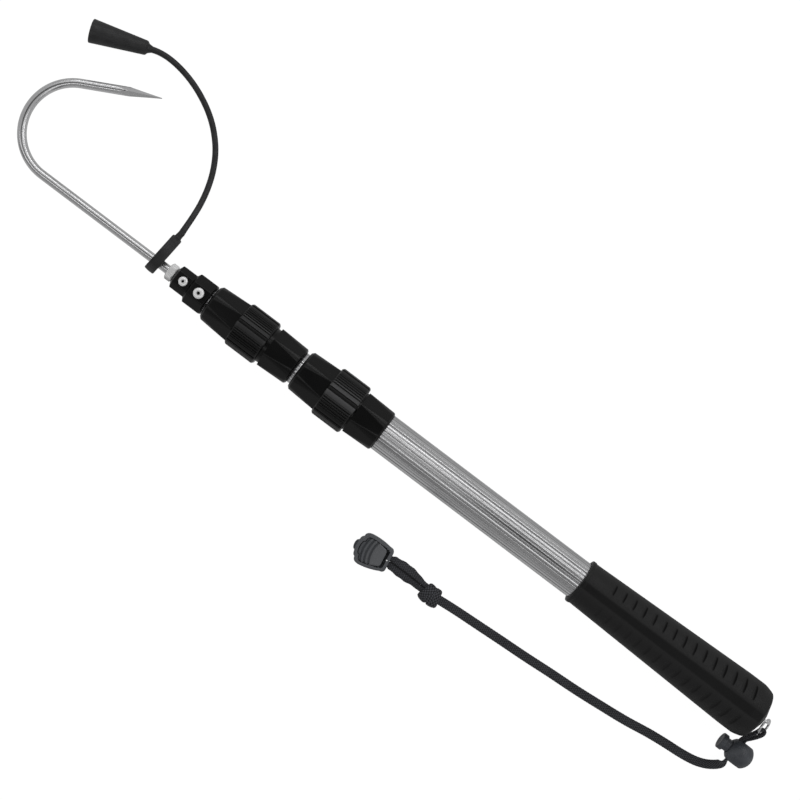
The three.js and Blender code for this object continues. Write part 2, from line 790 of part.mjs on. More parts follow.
const tubeScrewX = socketStep - TUBE_SCREW.fromStep;
const shankScrewX = socketStep + SHANK_SCREW.fromStep;

function verticalHole(x, radius, fromZ, toZ) {
  return new THREE.CylinderGeometry(radius, radius, toZ - fromZ, FACETS.small)
    .rotateX(Math.PI / 2)
    .translate(x, 0, (fromZ + toZ) / 2);
}

function hookSocket() {
  const { rearHalfWidth, frontHalfWidth, rearFlatHalf, frontFlatHalf } = SOCKET;
  const outside = loft([
    squareRing(socketRear, rearHalfWidth, rearFlatHalf),
    squareRing(socketStep - SOCKET.stepChamfer, rearHalfWidth, rearFlatHalf),
    squareRing(socketStep, frontHalfWidth, frontFlatHalf),
    squareRing(socketFront - SOCKET.frontChamfer, frontHalfWidth, frontFlatHalf),
    squareRing(socketFront, SOCKET.frontFaceHalf, SOCKET.frontFaceFlatHalf),
  ]);
  const spigotRear = socketRear - SOCKET.spigotLength;
  const sleeveRear = spigotRear - FIT.overrun;
  const sleeve = cut(
    bar(sleeveRear, innerTubeFront + FIT.gap, innerRadius + FIT.gap),
    bar(sleeveRear - FIT.overrun, innerTubeFront + FIT.overrun, SOCKET.spigotRadius),
  );
  const shankSeat = socketFront - HOOK.seatDepth - FIT.gap;
  return cut(
    join(outside, bar(spigotRear, socketStep, SOCKET.spigotRadius)),
    sleeve,
    bar(shankSeat, socketFront + FIT.overrun, HOOK.wireRadius + FIT.gap, FACETS.small),
    verticalHole(tubeScrewX, TUBE_SCREW.shankRadius + FIT.gap,
      rearHalfWidth - TUBE_SCREW.length - FIT.gap, rearHalfWidth + FIT.overrun),
    verticalHole(shankScrewX, SHANK_SCREW.shankRadius + FIT.gap, 0, frontHalfWidth + FIT.overrun),
  );
}

// Button-head screw with a hexagon socket, standing on the socket's upper flat
function buttonScrew(screw, x, flatHeight) {
  const seat = flatHeight + FIT.gap;
  const head = seat + screw.headHeight;
  const crown = THREE.MathUtils.lerp(seat, head, SCREW.crownShare);
  const shape = revolve([
    [flatHeight - screw.length, 0],
    [flatHeight - screw.length, screw.shankRadius],
    [seat, screw.shankRadius],
    [seat, screw.headRadius],
    [crown, screw.headRadius * SCREW.crownRadiusShare],
    [head, screw.headRadius * SCREW.topRadiusShare],
    [head, 0],
  ], FACETS.small);
  const keyFloor = head - SCREW.keyDepthShare * screw.headHeight;
  const key = bar(keyFloor, head + FIT.overrun, screw.keyRadius, HEXAGON);
  return cut(shape, key).rotateY(-Math.PI / 2).translate(x, 0, 0);
}

function innerTube() {
  const hole = verticalHole(tubeScrewX, TUBE_SCREW.shankRadius + FIT.gap, 0, innerRadius + FIT.overrun);
  return cut(flutedTube(innerRadius, innerTubeRear, innerTubeFront), hole);
}

function jamNut() {
  const corner = JAM_NUT.acrossFlats / 2 / Math.cos(Math.PI / HEXAGON);
  const flats = bar(nutRear, nutFront, corner, HEXAGON).rotateX(Math.PI / HEXAGON);
  const chamfered = revolve([
    [nutRear, 0],
    [nutRear, corner - JAM_NUT.chamfer],
    [nutRear + JAM_NUT.chamfer, corner],
    [nutFront - JAM_NUT.chamfer, corner],
    [nutFront, corner - JAM_NUT.chamfer],
    [nutFront, 0],
  ], FACETS.bore);
  return cut(common(flats, chamfered),
    bar(nutRear - FIT.overrun, nutFront + FIT.overrun, HOOK.wireRadius + FIT.gap, FACETS.small));
}

// Hook

function wireRing(middle, heading, radius) {
  const across = new THREE.Vector3(-Math.sin(heading), Math.cos(heading), 0);
  const ring = [];
  for (let j = 0; j < FACETS.wire; j += 1) {
    const angle = j / FACETS.wire * TURN;
    const point = middle.clone().addScaledVector(across, radius * Math.cos(angle));
    ring.push(point.add(new THREE.Vector3(0, 0, radius * Math.sin(angle))));
  }
  return ring;
}

function hook() {
  const { wireRadius, bendRadius, pointLength, tipRadius } = HOOK;
  const bendX = nutFront + HOOK.shankLength;
  const sweep = radians(HOOK.bendSweep);
  const rings = [wireRing(new THREE.Vector3(socketFront - HOOK.seatDepth, 0, 0), 0, wireRadius)];
  for (let i = 0; i <= STEPS.hookBend; i += 1) {
    const turned = sweep * i / STEPS.hookBend;
    const place = new THREE.Vector3(Math.sin(turned), Math.cos(turned) - 1, 0).multiplyScalar(bendRadius);
    rings.push(wireRing(place.add(new THREE.Vector3(bendX, 0, 0)), -turned, wireRadius));
  }
  const heading = new THREE.Vector3(Math.cos(sweep), -Math.sin(sweep), 0);
  const inward = new THREE.Vector3(-Math.sin(sweep), -Math.cos(sweep), 0);
  const legStart = new THREE.Vector3(Math.sin(sweep), Math.cos(sweep) - 1, 0).multiplyScalar(bendRadius);
  legStart.x += bendX;
  const pointStart = HOOK.legLength - pointLength;
  const tapers = [[0, 1], ...POINT_TAPER_SHARES, [1, tipRadius / wireRadius]];
  tapers.forEach(([along, width]) => {
    const radius = width * wireRadius;
    const middle = legStart.clone().addScaledVector(heading, pointStart + along * pointLength);
    const shift = HOOK.tipInward * (wireRadius - radius) / (wireRadius - tipRadius);
    rings.push(wireRing(middle.addScaledVector(inward, shift), -sweep, radius));
  });
  return loft(rings);
}

// Tip guard

const guardRingX = nutFront + GUARD_RING.fromNut;
const guardRingReach = GUARD_RING.boreRadius - HOOK.wireRadius - GUARD_RING.hangGap;
const guardRingDrop = Math.sqrt(guardRingReach ** 2 - GUARD_RING.sideways ** 2);

function guardRing() {
  const { outerRadius, boreRadius, width, edge } = GUARD_RING;
  const half = width / 2;
  const band = revolve([
    [-half, boreRadius + edge],
    [-half, outerRadius - edge],
    [-half + edge, outerRadius],
    [half - edge, outerRadius],
    [half, outerRadius - edge],
    [half, boreRadius + edge],
    [half - edge, boreRadius],
    [-half + edge, boreRadius],
    [-half, boreRadius + edge],
  ]);
  const bossLength = GUARD_RING.bossLength + edge;
  const { bossRadius, bossTipRadius } = GUARD_RING;
  const boss = new THREE.CylinderGeometry(bossTipRadius, bossRadius, bossLength, FACETS.wire);
  boss.rotateZ(Math.PI).translate(0, -outerRadius + edge - bossLength / 2, 0);
  return join(band, boss)
    .rotateY(-radians(GUARD_RING.lean))
    .rotateZ(radians(GUARD_RING.turn))
    .translate(guardRingX, GUARD_RING.sideways, -guardRingDrop);
}

function guardCap() {
  const { rearRadius, mouthRadius, length, rearEdge, rim, boreEndRadius, boreDepth } = GUARD_CAP;
  const lean = Math.atan((mouthRadius - rearRadius) / length);
  const shape = revolve([
    [0, 0],
    [0, rearRadius - rearEdge],
    [rearEdge, rearRadius],
    [length, mouthRadius],
    [length, mouthRadius - rim],
    [length - boreDepth, boreEndRadius],
    [length - boreDepth - boreEndRadius, 0],
  ]);
  return shape
    .rotateY(-lean)
    .rotateZ(radians(CAP_PLACE.heading))
    .translate(CAP_PLACE.rearX, CAP_PLACE.rearY, rearRadius / Math.cos(lean));
}

// Cord lock

function lockBall() {
  const { radius, flatFromMiddle, holeForward, holeHalfLength, holeHalfHeight } = BALL;
  const ball = new THREE.SphereGeometry(radius, FACETS.bore, FACETS.small).rotateX(Math.PI / 2);
  const flats = box([-radius, -flatFromMiddle, -radius], [radius, flatFromMiddle, radius]);
  const cordHole = box(
    [holeForward - holeHalfLength, -radius, -holeHalfHeight],
    [holeForward + holeHalfLength, radius, holeHalfHeight],
  );
  const shaft = bar(BALL.rearWall - radius, radius + FIT.overrun, PLUNGER.neckRadius + FIT.gap);
  return cut(common(ball, flats), cordHole, shaft).translate(BALL.x, BALL.y, radius);
}

function lockPlunger() {
  const { neckRadius, capRadius, capThickness, capStandoff, travel, cupRadius, cupDepth, edge } = PLUNGER;
  const slotRear = BALL.holeForward - BALL.holeHalfLength;
  const slotFront = BALL.holeForward + BALL.holeHalfLength + travel;
  const rear = BALL.rearWall - BALL.radius + LOCK_SPRING.length + travel - cupDepth + 2 * FIT.gap;
  const shape = revolve([
    [rear, 0],
    [rear, neckRadius],
    [capStandoff, neckRadius],
    [capStandoff, capRadius],
    [capStandoff + capThickness - edge, capRadius],
    [capStandoff + capThickness, capRadius - edge],
    [capStandoff + capThickness, 0],
  ], FACETS.bore);
  const slot = box(
    [slotRear, -neckRadius - FIT.overrun, -BALL.holeHalfHeight],
    [slotFront, neckRadius + FIT.overrun, BALL.holeHalfHeight],
  );
  const cup = bar(rear - FIT.overrun, rear + cupDepth, cupRadius, FACETS.small);
  return cut(shape, slot, cup).translate(BALL.x, BALL.y, BALL.radius);
}

function lockSpring() {
  return coil(LOCK_SPRING).translate(BALL.x - BALL.radius + BALL.rearWall + FIT.gap, BALL.y, BALL.radius);
}

// Knot: a core with two leaning wraps of cord round it
function knot() {
  const { halfLength, coreRadius, wrapRadius, strandRadius, lean } = KNOT;
  const core = bar(-halfLength, halfLength, coreRadius, FACETS.wire);
  const wraps = [-1, 1].map((side) => {
    const wrap = new THREE.TorusGeometry(wrapRadius, strandRadius, FACETS.coil, FACETS.small);
    return wrap
      .rotateY(Math.PI / 2)
      .scale(1, KNOT.wideShare, 1)
      .rotateZ(side * radians(lean))
      .translate(side * halfLength / 3, 0, 0);
  });
  return join(core, ...wraps).translate(KNOT.x, KNOT.y, KNOT.height);
}

// Clip, drawn along +X from its cord end and then turned to its place

function clipOutline(inset) {
  const outline = new THREE.Shape();
  const near = CLIP.cordHalfWidth - inset;
  const wide = CLIP.wideHalfWidth - inset;
  const far = CLIP.farHalfWidth - inset;
  const start = inset;
  const end = CLIP.length - inset;
  const corner = start + CLIP.cordCorner;
  const bow = (corner + CLIP.widePlace) / 2;
  outline.moveTo(start, CLIP.cordCorner - near);
  outline.quadraticCurveTo(start, -near, corner, -near);
  outline.quadraticCurveTo(bow, -wide, CLIP.widePlace, -wide);
  outline.quadraticCurveTo(end - CLIP.rim, -wide, end - CLIP.rim, -far);
  outline.quadraticCurveTo(end, -far, end, 0);
  outline.quadraticCurveTo(end, far, end - CLIP.rim, far);
  outline.quadraticCurveTo(end - CLIP.rim, wide, CLIP.widePlace, wide);
  outline.quadraticCurveTo(bow, wide, corner, near);
  outline.quadraticCurveTo(start, near, start, near - CLIP.cordCorner);
  return outline;
}

// The thumb tab that stands out at the clip's far end
function tabOutline() {
  const outline = new THREE.Shape();
  const end = CLIP.length + CLIP.tabReach;
  outline.moveTo(CLIP.widePlace, -CLIP.tabHalfWidth);
  outline.lineTo(CLIP.length, -CLIP.tabHalfWidth);
  outline.quadraticCurveTo(end, -CLIP.tabHalfWidth, end, 0);
  outline.quadraticCurveTo(end, CLIP.tabHalfWidth, CLIP.length, CLIP.tabHalfWidth);
  outline.lineTo(CLIP.widePlace, CLIP.tabHalfWidth);
  return outline;
}

function slab(outline, low, high, edge = 0) {
  const geometry = new THREE.ExtrudeGeometry(outline, {
    depth: high - low - 2 * edge,
    curveSegments: STEPS.curve,
    bevelEnabled: edge > 0,
    bevelThickness: edge,
    bevelSize: edge,
    bevelOffset: -edge,
    bevelSegments: 1,
  });
  return geometry.translate(0, 0, low + edge);
}

function placedOnClip(geometry) {
  return geometry.rotateZ(radians(CLIP.heading)).translate(CLIP.x, CLIP.y, 0);
}

const pinX = LEVER.start + LEVER.pinFromStart;
const pinReach = CLIP.cordHalfWidth + CLIP.edge;

function crossBar(x, z, halfLength, radius) {
  return new THREE.CylinderGeometry(radius, radius, 2 * halfLength, FACETS.small).translate(x, 0, z);
}

function clipBody() {
  const recess = common(
    slab(clipOutline(CLIP.rim), CLIP.floor, CLIP.height + FIT.overrun),
    box(
      [LEVER.start - LEVER.swingGap, -CLIP.length, 0],
      [CLIP.length, CLIP.length, CLIP.height + FIT.overrun],
    ),
  );
  const fork = box(
    [-FIT.overrun, -CLIP.forkHalfWidth, CLIP.forkLow],
    [CLIP.forkDepth, CLIP.forkHalfWidth, CLIP.forkHigh],
  );
  const body = cut(
    join(slab(clipOutline(0), 0, CLIP.height, CLIP.edge), slab(tabOutline(), 0, CLIP.tabHeight, CLIP.edge)),
    recess,
    fork,
    crossBar(pinX, LEVER.pinHeight, pinReach, LEVER.pinRadius + FIT.gap),
    verticalHole(CLIP.rivetFromEdge, CLIP.rivetRadius + FIT.gap, -FIT.overrun, CLIP.height + FIT.overrun),
  );
  return placedOnClip(body);
}

function clipLever() {
  const top = LEVER.low + LEVER.thickness;
  const farEnd = CLIP.length - CLIP.rim - FIT.gap;
  const plate = common(
    slab(clipOutline(CLIP.rim + FIT.gap), LEVER.low, top),
    box([LEVER.start, -CLIP.length, 0], [farEnd, CLIP.length, CLIP.height]),
  );
  const ridges = [];
  const ridgeHalf = CLIP.wideHalfWidth - 2 * CLIP.rim;
  for (let k = 0; k < LEVER.ridges; k += 1) {
    const x = farEnd - CLIP.rim - k * LEVER.ridgePitch;
    ridges.push(box(
      [x - LEVER.ridgeWidth, -ridgeHalf, LEVER.low + LEVER.thickness / 2],
      [x, ridgeHalf, top + LEVER.ridgeHeight],
    ));
  }
  const springCut = box(
    [LEVER.start - FIT.overrun, -LEVER.springHalfWidth, 0],
    [LEVER.start + LEVER.springCut, LEVER.springHalfWidth, CLIP.height],
  );
  const thumbRest = common(join(...ridges), slab(clipOutline(CLIP.rim + LEVER.ridgeWidth), 0, CLIP.height));
  const pinHole = crossBar(pinX, LEVER.pinHeight, CLIP.wideHalfWidth, LEVER.pinRadius + FIT.gap);
  return placedOnClip(cut(join(plate, thumbRest), springCut, pinHole));
}

function clipPin() {
  return placedOnClip(crossBar(pinX, LEVER.pinHeight, pinReach - FIT.gap, LEVER.pinRadius));
}

function clipSpring() {
  const spring = coil(CLIP_SPRING).translate(-CLIP_SPRING.length / 2, 0, 0).rotateZ(Math.PI / 2);
  return placedOnClip(spring.translate(pinX, 0, LEVER.pinHeight));
}

function clipRivet() {
  const { rivetRadius, rivetHeadRadius, rivetHeadHeight, height } = CLIP;
  const shape = revolve([
    [FIT.gap, 0],
    [FIT.gap, rivetRadius],
    [height + FIT.gap, rivetRadius],
    [height + FIT.gap, rivetHeadRadius],
    [height + FIT.gap + rivetHeadHeight / 2, rivetHeadRadius],
    [height + FIT.gap + rivetHeadHeight, rivetHeadRadius / 2],
    [height + FIT.gap + rivetHeadHeight, 0],
  ], FACETS.small);
  return placedOnClip(shape.rotateY(-Math.PI / 2).translate(CLIP.rivetFromEdge, 0, 0));
}

// Assembly

function piece(name, geometry, finish) {
  const mesh = new THREE.Mesh(geometry, new THREE.MeshStandardMaterial(finish));
  mesh.name = name;
  return mesh;
}

const gaff = new THREE.Group();

const gripSection = new THREE.Group();
gripSection.add(
  piece('outer_tube', flutedTube(POLE.outerRadius, outerTubeRear, outerPlaces.tubeEnd), FINISHES.aluminium),
  piece('handle_grip', handleGrip(), FINISHES.rubber),
  piece('butt_plug', buttPlug(), FINISHES.nylon),
  piece('butt_eye', buttEye(), FINISHES.steel),
  piece('link_ring', linkRing(), FINISHES.steel),
  piece(
    'outer_lock_body',
    lockBody(OUTER_LOCK, outerPlaces, POLE.outerRadius, middleRadius),
    FINISHES.gloss,
  ),
  piece('outer_clamp_ring', clampRing(OUTER_LOCK, outerPlaces, middleRadius), FINISHES.nylon),
  piece('outer_lock_nut', lockNut(OUTER_LOCK, outerPlaces, middleRadius), FINISHES.gloss),
);

const middleSection = new THREE.Group();
middleSection.add(
  piece('middle_tube', flutedTube(middleRadius, middleTubeRear, innerPlaces.tubeEnd), FINISHES.aluminium),
  piece('middle_end_bush', endBush(middleRadius, middleTubeRear), FINISHES.nylon),
  piece('inner_lock_body', lockBody(INNER_LOCK, innerPlaces, middleRadius, innerRadius), FINISHES.gloss),
  piece('inner_clamp_ring', clampRing(INNER_LOCK, innerPlaces, innerRadius), FINISHES.nylon),
  piece('inner_lock_nut', lockNut(INNER_LOCK, innerPlaces, innerRadius), FINISHES.gloss),
);

const innerSection = new THREE.Group();
innerSection.add(
  piece('inner_tube', innerTube(), FINISHES.aluminium),
  piece('inner_end_bush', endBush(innerRadius, innerTubeRear), FINISHES.nylon),
  piece('hook_socket', hookSocket(), FINISHES.gloss),
  piece('tube_screw', buttonScrew(TUBE_SCREW, tubeScrewX, SOCKET.rearHalfWidth), FINISHES.steel),
  piece('shank_screw', buttonScrew(SHANK_SCREW, shankScrewX, SOCKET.frontHalfWidth), FINISHES.steel),
  piece('hook_jam_nut', jamNut(), FINISHES.steel),
  piece('hook', hook(), FINISHES.steel),
  piece('guard_ring', guardRing(), FINISHES.rubber),
);

const poleAxis = new THREE.Group();
poleAxis.position.z = POLE.axisHeight;
poleAxis.add(gripSection, middleSection, innerSection);

const guard = new THREE.Group();
guard.add(
  piece('guard_strap', cordTube(STRAP_ROUTE, STRAP), FINISHES.rubber),
  piece('guard_cap', guardCap(), FINISHES.rubber),
);

const lanyard = new THREE.Group();
lanyard.add(
  piece('cord_loop', cordTube(LOOP_ROUTE, LOOP_CORD), FINISHES.braid),
  piece('cord_lock_body', lockBall(), FINISHES.moulded),
  piece('cord_lock_plunger', lockPlunger(), FINISHES.moulded),
  piece('cord_lock_spring', lockSpring(), FINISHES.steel),
  piece('lanyard_cord', cordTube(RUN_ROUTE, RUN_CORD), FINISHES.braid),
  piece('lanyard_knot', knot(), FINISHES.braid),
  piece('lanyard_eye', cordTube(EYE_ROUTE, EYE_CORD), FINISHES.braid),
  piece('clip_body', clipBody(), FINISHES.moulded),
  piece('clip_lever', clipLever(), FINISHES.moulded),
  piece('clip_pin', clipPin(), FINISHES.steel),
  piece('clip_spring', clipSpring(), FINISHES.steel),
  piece('clip_rivet', clipRivet(), FINISHES.steel),
);

gaff.add(poleAxis, guard, lanyard);

export default gaff;
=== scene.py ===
"""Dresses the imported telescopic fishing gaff: fine meshes, finishes, studio light and camera.

Lengths are in metres. The pole's axis runs along +X from the grip to the hook, and +Z is up.
"""
import logging
import math
from dataclasses import dataclass, field
from enum import Enum
from itertools import product
from typing import Any, Mapping, Sequence

import bmesh
import bpy
import numpy as np
from bpy.types import ID, Material, Mesh, NodeSocket, NodeTree, Object
from mathutils import Matrix, Vector


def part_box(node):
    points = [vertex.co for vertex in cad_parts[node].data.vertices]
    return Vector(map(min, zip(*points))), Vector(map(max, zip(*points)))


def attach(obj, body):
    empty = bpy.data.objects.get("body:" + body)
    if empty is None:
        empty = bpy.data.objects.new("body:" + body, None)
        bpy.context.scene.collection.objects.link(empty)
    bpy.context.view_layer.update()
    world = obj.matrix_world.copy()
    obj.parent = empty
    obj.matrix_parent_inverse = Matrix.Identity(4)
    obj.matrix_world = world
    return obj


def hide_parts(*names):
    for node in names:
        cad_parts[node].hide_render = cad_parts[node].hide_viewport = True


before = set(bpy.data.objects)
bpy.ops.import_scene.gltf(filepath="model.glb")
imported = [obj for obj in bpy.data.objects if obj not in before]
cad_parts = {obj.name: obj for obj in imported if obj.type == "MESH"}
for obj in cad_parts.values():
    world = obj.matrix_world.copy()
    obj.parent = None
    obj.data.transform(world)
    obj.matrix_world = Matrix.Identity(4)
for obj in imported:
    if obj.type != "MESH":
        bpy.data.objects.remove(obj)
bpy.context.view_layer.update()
LOG = logging.getLogger("gaff")

Array = np.ndarray
Pair = tuple[float, float]
Point = tuple[float, float, float]
TURN = 2 * math.pi
QUARTER = math.pi / 2
TINY = 1e-9
SHARP = 1e-6  # the rounding of a corner that is left sharp
ROUNDING_SHARE = 0.45  # of a side that the rounding at its end may take up
CURVE_STEPS = 24  # between two points of a route
ROUND = 96  # the points round a small turned body
SMOOTH_FACTOR = 0.5
CLOSED = 0.0002  # the radius at which a turned body counts as closed

STRAP_ROUTE: list[Point] = [
    (0.4574, -0.0237, 0.0151), (0.4577, -0.0276, 0.0146), (0.4586, -0.0356, 0.0116), (0.4602, -0.045, 0.0077),
    (0.4633, -0.0564, 0.0041), (0.4679, -0.0678, 0.0022), (0.4744, -0.0786, 0.0019), (0.4829, -0.0879, 0.0019),
    (0.4919, -0.0948, 0.0019), (0.5024, -0.1004, 0.0019), (0.5131, -0.1044, 0.0019), (0.5241, -0.1068, 0.0021),
    (0.5335, -0.1074, 0.0029), (0.5405, -0.1065, 0.0039), (0.5464, -0.1046, 0.00462),
]
LOOP_ROUTE: list[Point] = [
    (-0.017, 0.034, 0.00925), (-0.017, 0.03, 0.00925), (-0.017, 0.024, 0.00925), (-0.0171, 0.0196, 0.00925),
    (-0.0178, 0.0168, 0.0099), (-0.0188, 0.0138, 0.012), (-0.0199, 0.0108, 0.0139), (-0.0208, 0.0084, 0.0145),
    (-0.0218, 0.0063, 0.0145), (-0.0233, 0.0052, 0.0145), (-0.0246, 0.0063, 0.0145), (-0.0244, 0.0084, 0.0145),
    (-0.0232, 0.0108, 0.0139), (-0.0216, 0.0136, 0.012), (-0.0202, 0.016, 0.0099), (-0.0195, 0.0174, 0.00935),
    (-0.0193, 0.0188, 0.00925),
]
RUN_ROUTE: list[Point] = [
    (0.1872, 0.0639, 0.0039), (0.18, 0.0634, 0.0021), (0.172, 0.0629, 0.0011), (0.16, 0.0622, 0.00105),
    (0.142, 0.0611, 0.00105), (0.122, 0.06, 0.00105), (0.1025, 0.0586, 0.00105), (0.084, 0.0575, 0.00105),
    (0.0657, 0.0559, 0.00105), (0.047, 0.054, 0.00105), (0.0295, 0.0514, 0.00105), (0.0157, 0.05, 0.00105),
    (0.0087, 0.0495, 0.00105), (0.0017, 0.0487, 0.00105), (-0.0048, 0.0474, 0.0011), (-0.0106, 0.0451, 0.0015),
    (-0.0144, 0.0422, 0.0034), (-0.0164, 0.0394, 0.0062), (-0.0172, 0.0368, 0.0087), (-0.0173, 0.03475, 0.0092),
]
EYE_ROUTE: list[Point] = [
    (0.2013, 0.0616, 0.0044), (0.2036, 0.0613, 0.0041), (0.2075, 0.0606, 0.0026), (0.2125, 0.0601, 0.00195),
    (0.2185, 0.0599, 0.0024), (0.2271, 0.0602, 0.0032), (0.2306, 0.0605, 0.0033), (0.2327, 0.0618, 0.0033),
    (0.2334, 0.0641, 0.0033), (0.2321, 0.0662, 0.0033), (0.2297, 0.0669, 0.0033), (0.2263, 0.0664, 0.0032),
    (0.219, 0.066, 0.0024), (0.213, 0.0658, 0.00195), (0.2075, 0.0655, 0.0026), (0.2036, 0.0658, 0.0041),
    (0.2013, 0.0659, 0.0044),
]


class Body(str, Enum):
    """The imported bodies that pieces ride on."""

    GRIP = "grip_section"
    OUTER_NUT = "outer_lock_nut"
    MIDDLE = "middle_section"
    INNER_NUT = "inner_lock_nut"
    INNER = "inner_section"
    GUARD = "tip_guard"
    LANYARD = "lanyard"
    PLUNGER = "cord_lock_plunger"
    LEVER = "clip_lever"


# Mesh making


@dataclass
class Skin:
    """A surface in the making: its points, its faces and what is measured at each point."""

    points: Array
    faces: list[list[int]]
    measures: dict[str, Array] = field(default_factory=dict)

    def __add__(self, other: "Skin") -> "Skin":
        """Both skins as one, with the measures that the two share.

        Args:
            other: the other skin.

        Returns:
            A new skin.
        """
        shift = len(self.points)
        faces = self.faces + [[corner + shift for corner in face] for face in other.faces]
        shared = {
            name: np.concatenate([values, other.measures[name]])
            for name, values in self.measures.items() if name in other.measures
        }
        return Skin(np.vstack([self.points, other.points]), faces, shared)

    def placed(self, matrix: Matrix) -> "Skin":
        """The skin turned and moved."""
        turn = np.array(matrix.to_3x3())
        return Skin(self.points @ turn.T + np.array(matrix.translation), self.faces, self.measures)


def through_rings(rings: Array, measures: Mapping[str, Array] | None = None, closed: bool = False) -> Skin:
    """A skin through rings of equally many points.

    Args:
        rings: points as rows of rings, in an array of rows by columns by 3.
        measures: what is measured at each point, in arrays of rows by columns.
        closed: whether the last ring joins the first; otherwise a fan closes each end.

    Returns:
        The closed skin.
    """
    rows, columns = rings.shape[:2]
    index = np.arange(rows * columns).reshape(rows, columns)
    near = index if closed else index[:-1]
    far = np.roll(index, -1, axis=0) if closed else index[1:]
    quads = np.stack([near, np.roll(near, -1, axis=1), np.roll(far, -1, axis=1), far], axis=-1)
    faces = quads.reshape(-1, 4).tolist()
    points = rings.reshape(-1, 3)
    values = {name: grid.reshape(-1) for name, grid in (measures or {}).items()}
    if closed:
        return Skin(points, faces, values)
    for end, row in enumerate((0, rows - 1)):
        middle = rows * columns + end
        ring = index[row].tolist()
        faces += [[middle, a, b] for a, b in zip(ring, ring[1:] + ring[:1])]
    points = np.vstack([points, rings[0].mean(axis=0), rings[-1].mean(axis=0)])
    for name, grid in (measures or {}).items():
        values[name] = np.concatenate([values[name], [grid[0].mean(), grid[-1].mean()]])
    return Skin(points, faces, values)


def rounded(corners: Sequence[Sequence[float]], reach: float, steps: int = 3) -> Array:
    """A polyline with its inner corners replaced by short curves.

    Args:
        corners: the polyline's points; only the first two values of each count as its place.
        reach: how far a curve reaches along each of its two sides.
        steps: the number of pieces in a curve.

    Returns:
        The rounded polyline as an array of points.
    """
    path = np.asarray(corners, float)
    out = [path[0]]
    for before, corner, after in zip(path, path[1:], path[2:]):
        sides = [before - corner, after - corner]
        shares = [min(ROUNDING_SHARE, reach / max(np.linalg.norm(side[:2]), TINY)) for side in sides]
        start, end = (corner + side * share for side, share in zip(sides, shares))
        for along in np.linspace(0, 1, steps + 1):
            out.append((1 - along) ** 2 * start + 2 * along * (1 - along) * corner + along ** 2 * end)
    out.append(path[-1])
    return np.array(out)


def stacked(rows: Sequence[tuple], columns: int) -> tuple[Array, Array]:
    """The places of rows in one array, and their radii, one for all columns or one for each, in another."""
    places = np.array([row[0] for row in rows])
    return places, np.stack([row[1] + np.zeros(columns) for row in rows])


def angles(count: int) -> Array:
    """Equally spaced angles round a full turn."""
    return np.arange(count) / count * TURN


def round_axis(stations: Array, radii: Array, turns: Array, height: float) -> Array:
    """Rings of points round an axis along X, from each ring's place, its radii and its angles from up to +Y."""
    along = np.broadcast_to(stations[:, None], radii.shape)
    return np.stack([along, radii * np.sin(turns), height + radii * np.cos(turns)], axis=-1)


def soft_min(first: Array, second: Array, edge: float) -> Array:
    """The smaller of two radii, with the corner between them rounded by about the edge."""
    return (first + second - np.sqrt((first - second) ** 2 + edge ** 2)) / 2


def ease(value: Array, low: float, high: float) -> Array:
    """A smooth rise from 0 at the low value to 1 at the high one."""
    share = np.clip((value - low) / (high - low), 0, 1)
    return share * share * (3 - 2 * share)


def flats(turns: Array, count: int, apothem: Array, radius: Array, edge: float) -> Array:
    """Radii of a round section with equal flats, the first one facing up.

    Args:
        turns: the angle of each column.
        count: the number of flats.
        apothem: the distance of the flats from the axis.
        radius: the radius of the round between the flats.
        edge: the rounding where they meet.

    Returns:
        The radius at each angle.
    """
    pitch = TURN / count
    offset = (turns + pitch / 2) % pitch - pitch / 2
    return soft_min(apothem / np.cos(offset), radius + 0 * turns, edge)


def smooth_route(route: Sequence[Point], spacing: float) -> Array:
    """Evenly spaced points on a smooth curve through a route.

    Args:
        route: the points that the curve passes through.
        spacing: the distance between the new points.

    Returns:
        The points of the curve.
    """
    given = np.asarray(route, float)
    padded = np.vstack([2 * given[0] - given[1], given, 2 * given[-1] - given[-2]])
    curve = []
    for four in (padded[i:i + 4] for i in range(len(given) - 1)):
        knots = np.concatenate([[0], np.cumsum(np.sqrt(np.linalg.norm(np.diff(four, axis=0), axis=1)))])
        at = np.linspace(knots[1], knots[2], CURVE_STEPS, endpoint=False)[:, None]

        def between(low: Any, high: Any, start: int, end: int) -> Any:
            """A blend of two values between two knots."""
            return ((knots[end] - at) * low + (at - knots[start]) * high) / (knots[end] - knots[start])

        first, second, third = (between(four[k], four[k + 1], k, k + 1) for k in range(3))
        curve.append(between(between(first, second, 0, 2), between(second, third, 1, 3), 1, 2))
    line = np.vstack([*curve, given[-1:]])
    along = np.concatenate([[0], np.cumsum(np.linalg.norm(np.diff(line, axis=0), axis=1))])
    places = np.linspace(0, along[-1], max(2, round(along[-1] / spacing) + 1))
    return np.stack([np.interp(places, along, line[:, k]) for k in range(3)], axis=1)


def rolled(line: Array, roll: Array) -> Array:
    """Level directions across a line, rolled about it by an angle at each point.

    Args:
        line: the points.
        roll: the angle at each of them.

    Returns:
        The direction at each point.
    """
    heading = unit(np.gradient(line, axis=0))
    flat = unit(np.cross([0, 0, 1.0], heading))
    return np.cos(roll)[:, None] * flat + np.sin(roll)[:, None] * np.cross(heading, flat)


def unit(vectors: Array) -> Array:
    """The vectors with a length of one."""
    return vectors / np.linalg.norm(vectors, axis=-1, keepdims=True)


def run_on(line: Array, before: float, after: float) -> Array:
    """The line with a straight piece added at each end, so that it reaches into its neighbours.

    Args:
        line: the points.
        before: the length added before its start.
        after: the length added past its end.

    Returns:
        The longer line.
    """
    spacing = np.linalg.norm(line[1] - line[0])
    back = np.arange(round(before / spacing), 0, -1)[:, None] * (line[0] - line[1])
    on = np.arange(1, round(after / spacing) + 1)[:, None] * (line[-1] - line[-2])
    return np.vstack([line[0] + back, line, line[-1] + on])


